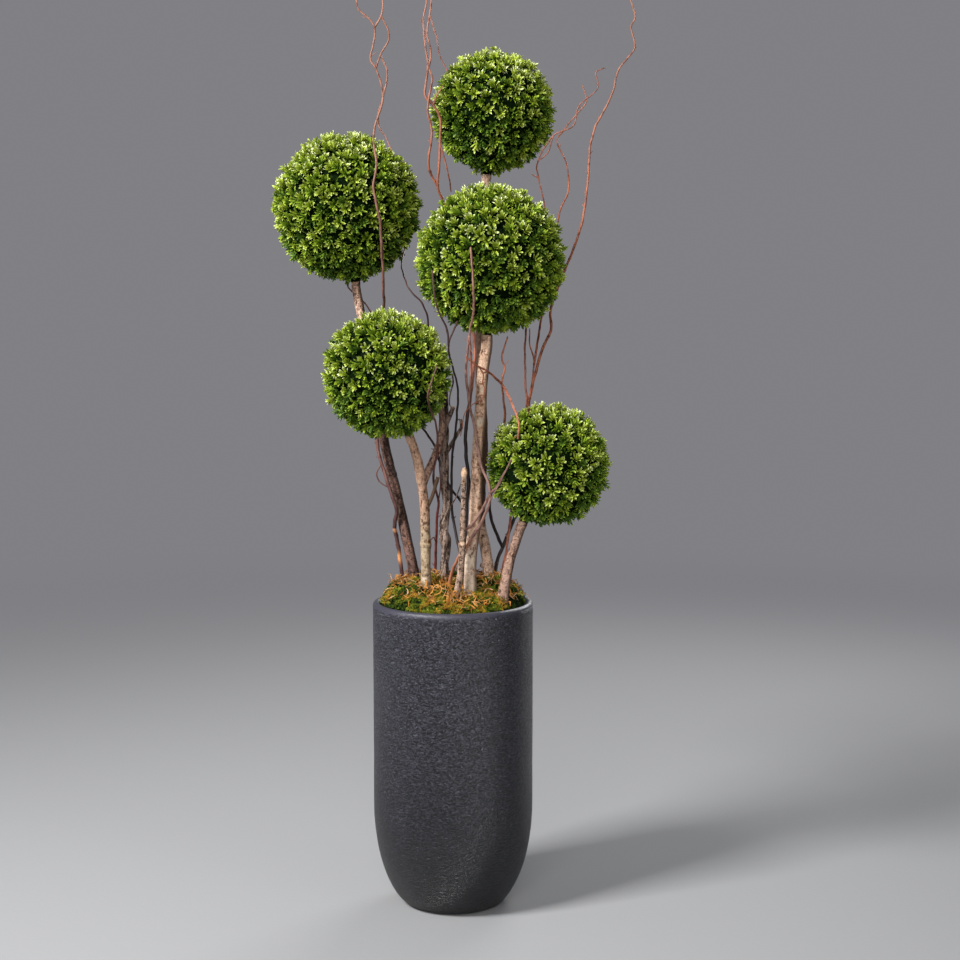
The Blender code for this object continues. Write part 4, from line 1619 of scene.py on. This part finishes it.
    def near_limbs(self, limbs: Sequence[Course]) -> np.ndarray:
        """Finds the limbs that pass close to the ball.

        Args:
            limbs: the lines of the stems and twigs.

        Returns:
            Their points there, with their widths.
        """
        found = np.array([(*point, width) for course in limbs
                          for point, width in zip(course.points, course.widths)])
        distance = np.linalg.norm(found[:, :3] - np.array(self.centre), axis=1)
        return found[distance < self.radius + 0.03]

    def touches(self, start: Vector, end: Vector, near: np.ndarray) -> bool:
        """Tells whether a sprig would touch a limb.

        Args:
            start: the sprig's foot.
            end: its tip.
            near: the points of the limbs that pass close to the ball, with their widths.

        Returns:
            True if it would.
        """
        if not len(near):
            return False
        root, line = np.array(start), np.array(end - start)
        share = np.clip((near[:, :3] - root) @ line / (line @ line), 0.0, 1.0)
        gap = np.linalg.norm(near[:, :3] - root - share[:, None] * line, axis=1)
        return bool((gap < near[:, 3] + self.clearance).any())


# ---------------------------------------------------------------- studio


@dataclass(frozen=True)
class Lamp:
    """A square soft light that faces the plant's axis at a height."""

    name: str
    at: Point
    size: float
    power: float
    aim_height: float = 1.25
    spread: float = 180.0

    def build(self) -> None:
        """Adds the light."""
        data = bpy.data.lights.new(self.name, "AREA")
        data.size = self.size
        data.energy = self.power
        data.spread = math.radians(self.spread)
        made = linked(self.name, data)
        made.location = self.at
        aim = Vector((0.05, 0.0, self.aim_height)) - Vector(self.at)
        made.rotation_euler = aim.to_track_quat("-Z", "Y").to_euler()


@dataclass
class Studio:
    """The camera, the floor and the soft lights."""

    focal_pixels: float = 1860.0
    frame_pixels: float = 960.0
    sensor: float = 36.0
    pitch_pixels: float = 198.0
    camera_at: Point = (0.0675, -4.588, 1.5594)
    floor_radius: float = 14.0
    floor_under: float = 0.0006
    fade: tuple[float, float] = (0.6, 6.5)
    backdrop: Colour = (0.218, 0.215, 0.232)
    floor_pale: Colour = (0.34, 0.34, 0.345)
    sky: Colour = (0.92, 0.96, 1.0)
    sky_strength: float = 0.20
    lamps: tuple[Lamp, ...] = (
        Lamp("key", (-3.2, -2.4, 4.2), 1.3, 430.0),
        Lamp("front", (-0.6, -5.4, 3.0), 2.2, 118.0),
        Lamp("fill", (3.1, -2.3, 0.9), 1.5, 9.0),
        Lamp("low_fill", (3.2, -2.6, 0.5), 0.9, 1.5, 0.30, 40.0),
        Lamp("back", (1.6, 3.6, 3.2), 2.2, 105.0),
    )

    def camera(self) -> None:
        """Places the camera as the photograph's was."""
        data = bpy.data.cameras.new("camera")
        data.sensor_width = self.sensor
        data.lens = self.sensor * self.focal_pixels / self.frame_pixels
        made = linked("camera", data)
        pitch = math.atan(self.pitch_pixels / self.focal_pixels)
        made.location = self.camera_at
        made.rotation_euler = (math.pi / 2 - pitch, 0.0, 0.0)
        bpy.context.scene.camera = made

    def floor(self) -> None:
        """Lays a plain pale floor that fades into the backdrop far away."""
        mesh = bmesh.new()
        bmesh.ops.create_circle(mesh, cap_ends=True, radius=self.floor_radius, segments=96,
                                matrix=Matrix.Translation((0, 0, -self.floor_under)))
        paint = Paint("floor_paint")
        radial = paint.out("ShaderNodeVectorMath", {"operation": "LENGTH"},
                           {0: paint.place()}, output=1)
        far = radial.step(*self.fade)
        colour = paint.mix(far, self.floor_pale, UNLIT)
        glow = paint.mix(far, UNLIT, self.backdrop)
        floor = piece_from("studio_floor", mesh, paint.finish(
            base_color=colour, roughness=0.75, emission_color=glow, emission_strength=1.0,
            specular_ior_level=0.0, normal=paint.bump(paint.cloud(60.0), 0.0005)))

    def world(self) -> None:
        """Adds even light from all round, and a plain grey backdrop."""
        world = bpy.data.worlds.new("studio")
        world.use_nodes = True
        bpy.context.scene.world = world
        nodes, links = world.node_tree.nodes, world.node_tree.links
        soft = nodes["Background"]
        soft.inputs["Color"].default_value = (*self.sky, 1.0)
        soft.inputs["Strength"].default_value = self.sky_strength
        seen = nodes.new("ShaderNodeBackground")
        seen.inputs["Color"].default_value = (*self.backdrop, 1.0)
        seen.inputs["Strength"].default_value = 1.0
        path = nodes.new("ShaderNodeLightPath")
        both = nodes.new("ShaderNodeMixShader")
        links.new(path.outputs["Is Camera Ray"], both.inputs[0])
        links.new(soft.outputs[0], both.inputs[1])
        links.new(seen.outputs[0], both.inputs[2])
        links.new(both.outputs[0], nodes["World Output"].inputs[0])

    def build(self) -> None:
        """Sets up the whole studio."""
        self.camera()
        self.floor()
        for lamp in self.lamps:
            lamp.build()
        bpy.context.scene.view_settings.view_transform = "Standard"
        self.world()


# ---------------------------------------------------------------- the plant's own sizes


TAN = Bark("bark_cream", (0.72, 0.560, 0.430), (0.46, 0.310, 0.225), (0.105, 0.053, 0.032),
           patch=(0.66, 0.54, 0.41), upper_tint=(1.06, 0.92, 0.84), upper_from=0.92,
           bars=0.55, flakes=0.5)
MAUVE = Bark("bark_mauve", (0.215, 0.118, 0.090), (0.084, 0.042, 0.032),
             (0.013, 0.0065, 0.0045), upper_tint=(4.2, 4.8, 4.6), upper_from=1.30,
             bars=0.85, flakes=0.35)
OLIVE = Bark("bark_olive", (0.49, 0.370, 0.240), (0.270, 0.182, 0.110), (0.075, 0.043, 0.024),
             upper_tint=(1.12, 0.92, 0.96), upper_from=0.96, bars=0.40, flakes=0.6)
PINK = Bark("bark_pink", (0.42, 0.265, 0.195), (0.185, 0.095, 0.068), (0.038, 0.016, 0.011),
            patch=(0.36, 0.245, 0.180), bars=0.6, flakes=0.6)
SAND = Bark("bark_sand", (0.64, 0.430, 0.305), (0.360, 0.222, 0.155), (0.055, 0.028, 0.018),
            bars=0.7, flakes=0.5)
WARTY = Bark("bark_warty", (0.47, 0.32, 0.235), (0.215, 0.130, 0.090), (0.016, 0.009, 0.007),
             patch=(0.90, 0.60, 0.38), bars=1.0, flakes=0.55)
VINE = Bark("bark_vine", (0.36, 0.260, 0.205), (0.075, 0.042, 0.030), (0.006, 0.004, 0.003),
            patch=(0.50, 0.24, 0.10), bars=0.2, flakes=0.1, rough=0.6,
            streaks_per_metre=150.0, streak_stretch=0.10)

POLES = (
    limb("trunk_top", (13.5, 11.5), (
        (92, 85, FOOT_MM), (90, 90, 815), (80, 102, 890), (68, 114, 950), (69, 124, 1030),
        (75, 140, 1120), (73, 146, 1225), (68, 155, 1400), (80, 170, 1770))),
    limb("trunk_upper_left", (13.5, 11), (
        (-80, 40, FOOT_MM), (-95, 50, 812), (-143, 81, 1025), (-176, 112, 1160),
        (-205, 130, 1325), (-240, 120, 1520))),
    limb("trunk_middle", (15.5, 13.5), (
        (44, -55, FOOT_MM), (44, -60, 800), (44, -60, 880), (55, -60, 980), (63, -56, 1150),
        (70, -55, 1265), (75, -50, 1345), (83, -50, 1400))),
    limb("trunk_lower_left", (13, 11), (
        (-68, -15, FOOT_MM), (-67, -21, 830), (-69, -28, 995), (-79, -42, 1090),
        (-93, -53, 1150)), (
        ((5, 4), (
            (-69, -28, 995), (-50, -34, 1035), (-36, -40, 1083))),)),
    limb("trunk_lower_right", (12.5, 11.5), (
        (122, -83, FOOT_MM), (125, -80, 795), (142, -70, 881), (165, -53, 952))),
)

VINE_LIMB = limb("vine_stem", (12.5, 10), (
    (-18, 45, FOOT_MM), (-23, 45, 845), (-18, 45, 897), (-23, 45, 950), (-15, 45, 1003),
    (-20, 45, 1056), (-21, 45, 1127), (-20, 45, 1197), (-22, 58, 1300)), (
    ((6, 5.5), (
        (-20, 45, 1197), (1, 20, 1250))),
    ((1.4, 1.9), (
        (-1, 20, 1247), (-8, 17, 1259), (-6, 14, 1284), (1, 12, 1311), (-1, 12, 1334))),
    ((5.5, 3.5), (
        (-21, 45, 1127), (10, 30, 1181), (21, 30, 1200), (19, 30, 1220))),
    ((2.2, 1.4), (
        (-23, 45, 950), (-15, 20, 983), (-2, 3, 1010), (9, 0, 1030), (20, 4, 1061)))))

CUT_LIMB = limb("cut_stem", (8.8, 5.8), (
    (-6, -86, FOOT_MM), (7, -88, 790), (15, -89, 822), (20, -90, 855), (24, -90, 916),
    (29, -90, 1105)))

BOUGH_LIMB = limb("bough_lower_left", (10, 7.5), (
    (-75, -37, 1060), (-56, -30, 1106), (-41, -20, 1140), (-30, -8, 1174), (-26, 3, 1218),
    (-30, 12, 1262)))

TWIGS = (
    limb("willow_left", (6, 1.8), (
        (-120, 60, FOOT_MM), (-134, 60, 860), (-147, 55, 950), (-142, 49, 990), (-160, 55, 1045),
        (-180, 67, 1107), (-191, 82, 1165), (-184, 94, 1300), (-172, 72, 1425),
        (-168, -30, 1555), (-174, -61, 1700), (-189, -59, 1785), (-183, -46, 1840),
        (-190, -12, 1920), (-168, 0, 2005), (-185, 0, 2074), (-198, 0, 2098), (-187, 0, 2172),
        (-229, 0, 2222), (-227, 10, 2300), (-243, 12, 2350)), (
        ((2.6, 1.6), (
            (-187, 0, 2172), (-171, 0, 2200), (-167, 0, 2236), (-177, 6, 2275),
            (-164, 10, 2325))),
        ((2.4, 2.4), (
            (-171, 0, 2200), (-153, 10, 2150), (-174, 10, 2107), (-185, 0, 2074))),
        ((2.6, 2.2), (
            (-168, 0, 2005), (-158, 10, 2062), (-174, 10, 2107))),
        ((2.8, 1.6), (
            (-168, 0, 2005), (-182, 18, 1950), (-157, 0, 1899), (-148, -10, 1878))),
        ((2, 2), (
            (-180, 67, 1107), (-192, 60, 1080), (-185, 58, 1060), (-160, 55, 1045))),
        ((3, 2.4), (
            (-184, 94, 1300), (-190, 115, 1400), (-207, 138, 1479), (-235, 154, 1517),
            (-262, 150, 1541), (-268, 143, 1553))))),
    limb("willow_centre", (5.6, 3.4), (
        (24, 0, FOOT_MM), (30, 4, 890), (34, 14, 1004), (39, 19, 1065), (31, 30, 1156),
        (35, 40, 1217), (50, 62, 1330), (50, 105, 1440), (4, 142, 1617), (-20, 105, 1745),
        (-37, 85, 1794), (-34, 75, 1843), (-31, 70, 1900), (-31, 65, 1961), (-48, 55, 1992),
        (-57, 53, 2004)), (
        ((3.4, 1.4), (
            (-48, 55, 1992), (-40, 53, 2012), (-23, 50, 2037))),
        ((3.4, 1.6), (
            (-48, 55, 1992), (-67, 50, 2017), (-60, 50, 2085), (-66, 50, 2131),
            (-71, 50, 2194), (-63, 50, 2244), (-74, 48, 2300), (-61, 46, 2350), (-70, 45, 2405))),
        ((3.6, 1.6), (
            (-37, 85, 1794), (-60, 70, 1845), (-51, 57, 1930), (-61, 50, 1980),
            (-50, 40, 2051), (-57, 40, 2082), (-52, 40, 2115), (-61, 40, 2164),
            (-55, 40, 2207), (-50, 38, 2260), (-60, 36, 2315), (-47, 34, 2370))),
        ((2.2, 1.6), (
            (-55, 40, 2207), (-38, 40, 2150), (-32, 50, 2115), (-11, 60, 2071))),
        ((2.6, 1.8), (
            (-31, 70, 1900), (-12, 78, 1830), (-5, 115, 1785))),
        ((4, 1.8), (
            (34, 14, 1004), (18, 30, 1016), (-5, 62, 1043), (-26, 72, 1084), (-45, 68, 1148),
            (-65, 66, 1180), (-82, 74, 1210), (-91, 92, 1300), (-70, 65, 1403),
            (-60, 28, 1460), (-74, 12, 1505), (-108, 25, 1545), (-128, 90, 1600),
            (-119, 185, 1655), (-90, 195, 1715))))),
    limb("willow_front", (4.8, 2.6), (
        (-7, -8, FOOT_MM), (-6, -16, 825), (12, -50, 880), (43, -85, 930), (75, -97, 986),
        (93, -110, 1050), (69, -92, 1125), (60, -87, 1178), (41, -87, 1275), (34, -102, 1348),
        (42, -130, 1433), (52, -192, 1494), (52, -236, 1552), (46, -249, 1638)), (
        ((3, 2.6), (
            (42, -130, 1433), (46, -112, 1370), (41, -87, 1275))),
        ((4, 4.2), (
            (93, -110, 1050), (68, -94, 1000), (42, -84, 966), (23, -66, 949))),
        ((4.2, 2.2), (
            (93, -110, 1050), (111, -132, 1073), (142, -166, 1137))),
        ((1.5, 1.2), (
            (137, -161, 1127), (123, -157, 1095), (106, -142, 1062), (90, -124, 1028),
            (74, -110, 988), (53, -102, 955), (38, -98, 927))))),
    limb("willow_middle", (4.6, 2.4), (
        (17, -24, FOOT_MM), (20, -23, 870), (7, -4, 938), (-3, 20, 1004), (-3, 22, 1069),
        (-2, 18, 1119), (9, -4, 1220), (13, -30, 1300), (2, -62, 1349), (-8, -96, 1406),
        (13, -124, 1465)), (
        ((3, 2.2), (
            (-8, -96, 1406), (-12, -112, 1447), (-36, -138, 1505), (-45, -182, 1585))),)),
    limb("willow_low_left", (4.4, 2), (
        (-48, 100, FOOT_MM), (-46, 92, 840), (-43, 60, 905), (-39, 14, 980), (-36, 0, 1020),
        (-47, -28, 1080), (-36, -70, 1155), (-38, -106, 1212), (-50, -172, 1258),
        (-56, -200, 1292), (-35, -198, 1360)), (
        ((2, 1.6), (
            (-36, 0, 1020), (-30, 11, 1060), (-33, 10, 1108), (-28, 12, 1150))),
        ((1.8, 1.4), (
            (-43, 60, 905), (-49, 30, 923), (-55, 5, 920))))),
    limb("willow_far_right", (5.4, 1.7), (
        (110, 118, FOOT_MM), (108, 121, 835), (125, 123, 885), (158, 134, 967), (170, 146, 1050),
        (187, 140, 1200), (191, 130, 1251), (203, 115, 1312), (224, 100, 1390),
        (246, 100, 1440), (248, 110, 1500), (292, 80, 1622), (318, 50, 1700), (333, 50, 1800),
        (343, 50, 1915), (390, 50, 2013), (408, 50, 2078), (446, 50, 2129), (437, 50, 2177),
        (446, 50, 2208), (430, 50, 2270), (441, 50, 2345)), (
        ((3.2, 1.6), (
            (191, 130, 1251), (204, 121, 1351), (193, 105, 1402), (192, 95, 1442))),
        ((3.4, 1.6), (
            (204, 121, 1351), (221, 145, 1451), (240, 155, 1564), (266, 122, 1725),
            (288, 100, 1785), (283, 100, 1850), (260, 100, 1905), (277, 110, 1936),
            (304, 112, 1970), (332, 110, 2005), (322, 110, 2044))),
        ((4.8, 2.2), (
            (125, 123, 885), (98, 86, 956), (92, 74, 1020), (104, 78, 1088), (113, 62, 1152),
            (129, 18, 1224), (121, -50, 1312), (127, -40, 1348), (121, -30, 1377),
            (135, -42, 1426))),
        ((3.6, 2.6), (
            (121, -50, 1312), (89, -102, 1343), (60, -127, 1362), (34, -140, 1381))),
        ((1.7, 1.2), (
            (65, -121, 1358), (76, -108, 1337), (75, -98, 1317), (80, -92, 1302),
            (72, -80, 1277), (53, -73, 1266), (33, -60, 1248), (26, -42, 1221), (20, -30, 1183))),
        ((3.6, 2.4), (
            (121, -50, 1312), (135, -80, 1289), (160, -147, 1225), (158, -164, 1188))))),
    limb("willow_right", (4.2, 1.6), (
        (122, 82, FOOT_MM), (121, 84, 806), (131, 90, 862), (146, 108, 965), (152, 116, 1029),
        (175, 118, 1183), (186, 107, 1247), (182, 104, 1310), (183, 120, 1430),
        (200, 165, 1565), (222, 160, 1690), (230, 140, 1745), (214, 115, 1818),
        (211, 98, 1858), (249, 82, 1919), (298, 80, 1943), (311, 80, 1990), (358, 80, 2036),
        (352, 80, 2072), (373, 80, 2084)), (
        ((2, 1.6), (
            (214, 115, 1818), (198, 115, 1826))),
        ((2, 1.6), (
            (249, 82, 1919), (236, 86, 1880), (211, 98, 1858))))),
)

BALLS = (
    BoxwoodBall("ball_top", (0.100, 0.170, 1.985), 0.161, "trunk_top"),
    BoxwoodBall("ball_upper_left", (-0.267, 0.120, 1.744), 0.192, "trunk_upper_left"),
    BoxwoodBall("ball_middle", (0.093, -0.050, 1.612), 0.188, "trunk_middle"),
    BoxwoodBall("ball_lower_left", (-0.158, -0.080, 1.337), 0.162, "trunk_lower_left"),
    BoxwoodBall("ball_lower_right", (0.236, -0.030, 1.111), 0.158, "trunk_lower_right"),
)

BARKS = {
    # trunk_top: a painted shadow between 0.94 and 1.46 m.
    "trunk_top": (SAND, BarkRelief(marks(
        (KNOT, 877, -5, 5, 1.4), (RING, 1020, 0, 6, 0.8), (KNOT, 1200, 60, 6, 1.6)),
        1.3, side_shade=0.6, shadow_and_dark_band=(0.94, 1.46))),
    "trunk_upper_left": (MAUVE, BarkRelief(marks(
        (RING, 1080, 0, 6, 0.9), (KNOT, 1235, -35, 6, 1.6), (PATCH, 800, -25, 10),
        (KNOT, 905, 15, 4.5, 1.2)), 2.7, side_shade=1.0)),
    "trunk_middle": (TAN, BarkRelief(marks(
        (KNOT, 1378, -80, 7, 4), (KNOT, 1011, 42, 8.5, 3.4), (SLIT, 1340, 15, 11, 1.2),
        (SLIT, 1312, -10, 9, 1), (SLIT, 1283, 25, 12, 1.2), (SLIT, 1261, 5, 8, 1),
        (SLIT, 1170, -20, 8, 0.8), (SLIT, 929, -25, 7, 1.2), (RING, 1120, 0, 6, 0.8),
        (PATCH, 880, 0, 26), (PATCH, 820, 20, 30), (PATCH, 790, -30, 18),
        (PATCH, 1300, 30, 14), (PATCH, 1220, 20, 16)), 4.1, side_shade=0.95)),
    "trunk_lower_left": (OLIVE, BarkRelief(marks(
        (RING, 914, 0, 7, 1.8), (KNOT, 921.5, 40, 6.2, 2.4), (PATCH, 825, -5, 12),
        (RING, 1071, 0, 5, 1.2), (KNOT, 1000, 62, 5.5, 2)), 6.4, side_shade=0.5)),
    "trunk_lower_right": (PINK, BarkRelief(marks(
        (KNOT, 900, -10, 4.5, 1.2), (KNOT, 848, 35, 4, 1), (RING, 960, 0, 5, 0.7)),
        8.2, side_shade=0.7)),
    "bough_lower_left": (PINK, BarkRelief(marks((KNOT, 1140, 30, 7, 1.5)), 9.5, side_shade=0.4)),
    "cut_stem": (WARTY, BarkRelief(marks(
        (RING, 922, 0, 7, 2), (PATCH, 926, 10, 6), (RING, 1040, 0, 4, 0.8),
        (PATCH, 1098, 0, 15), (KNOT, 1078, 0, 4, 0.6), (RING, 985, 0, 5, 0.9)),
        3.3, side_shade=0.5)),
    "vine_stem": (VINE, BarkRelief((), 5.0, lumps=0.2, side_shade=0.4)),
}

BLACK = (0.016, 0.009, 0.008)
TWIG_BARKS = {
    "willow_left": (
        WillowBark("willow_left_bark", (0.080, 0.034, 0.030), (0.180, 0.078, 0.060),
                   (0.32, 0.140, 0.090), turn=1.06, tip_turn=1.85),
        TwigRelief(0.1, pales=((0.868, 0.012), (0.938, 0.003)))),
    "willow_centre": (
        WillowBark("willow_centre_bark", BLACK, (0.36, 0.120, 0.065), (0.34, 0.140, 0.090),
                   turn=1.27),
        TwigRelief(0.2, blacks=(((-0.30, -0.30, 1.0), (-0.052, 0.30, 1.62)),))),
    "willow_front": (
        WillowBark("willow_front_bark", (0.46, 0.185, 0.100), (0.25, 0.140, 0.110),
                   (0.33, 0.165, 0.125), turn=0.92, tip_turn=1.30), TwigRelief(0.3)),
    "willow_middle": (
        WillowBark("willow_middle_bark", BLACK, (0.035, 0.020, 0.019), (0.20, 0.105, 0.092),
                   turn=1.25, tip_turn=1.50), TwigRelief(0.4)),
    "willow_low_left": (
        WillowBark("willow_low_left_bark", (0.23, 0.048, 0.032), (0.120, 0.042, 0.034),
                   (0.34, 0.220, 0.150), turn=1.02, tip_turn=1.42), TwigRelief(0.5)),
    "willow_far_right": (
        WillowBark("willow_far_bark", BLACK, (0.40, 0.130, 0.065), (0.36, 0.150, 0.090),
                   turn=1.12), TwigRelief(0.6)),
    "willow_right": (
        WillowBark("willow_right_bark", (0.36, 0.115, 0.060), (0.34, 0.125, 0.080),
                   (0.28, 0.115, 0.080)), TwigRelief(0.7)),
}


def stems() -> list[Stem]:
    """Lists the poles led on to their balls, the bough, the cut stem and the vine stem.

    Returns:
        The stems.
    """
    balls = {ball.pole: ball for ball in BALLS}
    made: list[Stem] = []
    for pole in POLES:
        reached = replace(pole, route=(*pole.route, balls[pole.name].tip(pole.route[-1])))
        made.append(Stem(reached, *BARKS[pole.name],
                         dark_forks=pole.name == "trunk_lower_left"))
    made.append(Stem(BOUGH_LIMB, *BARKS["bough_lower_left"], flare=0.0))
    made.append(Stem(CUT_LIMB, *BARKS["cut_stem"], flare=0.0, cut=True, sides=22))
    made.append(VineStem(VINE_LIMB, *BARKS["vine_stem"], flare=0.0))
    return made


def foot_of(course: Course, level: float) -> tuple[Vector, float]:
    """Finds where a line comes up to a level.

    Args:
        course: the line.
        level: the height.

    Returns:
        The place, and the line's width there.
    """
    for point, width in zip(course.points, course.widths):
        if point.z >= level:
            return point, width
    return course.points[-1], course.widths[-1]


def main() -> None:
    """Builds the studio and the plant."""
    logging.basicConfig(level=logging.INFO, format="%(message)s")
    # The vector noise that bends the twigs differs from run to run until it has a seed.
    noise.seed_set(NOISE_SEED)
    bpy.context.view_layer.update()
    Studio().build()
    Planter().build()
    planted = [*stems(), *(WillowSpray(twig, *TWIG_BARKS[twig.name]) for twig in TWIGS)]
    lines = [course for stem in planted for course in stem.courses()]
    MossBed().build([foot_of(stem.courses()[0], STEM_LEVEL) for stem in planted
                     if stem.limb is not BOUGH_LIMB])
    for stem in planted:
        stem.build()
    ends = {pole.name: pole.route[-1] for pole in POLES}
    for ball in BALLS:
        ball.build(ends[ball.pole], lines)
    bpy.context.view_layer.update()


if __name__ == "__main__":
    main()
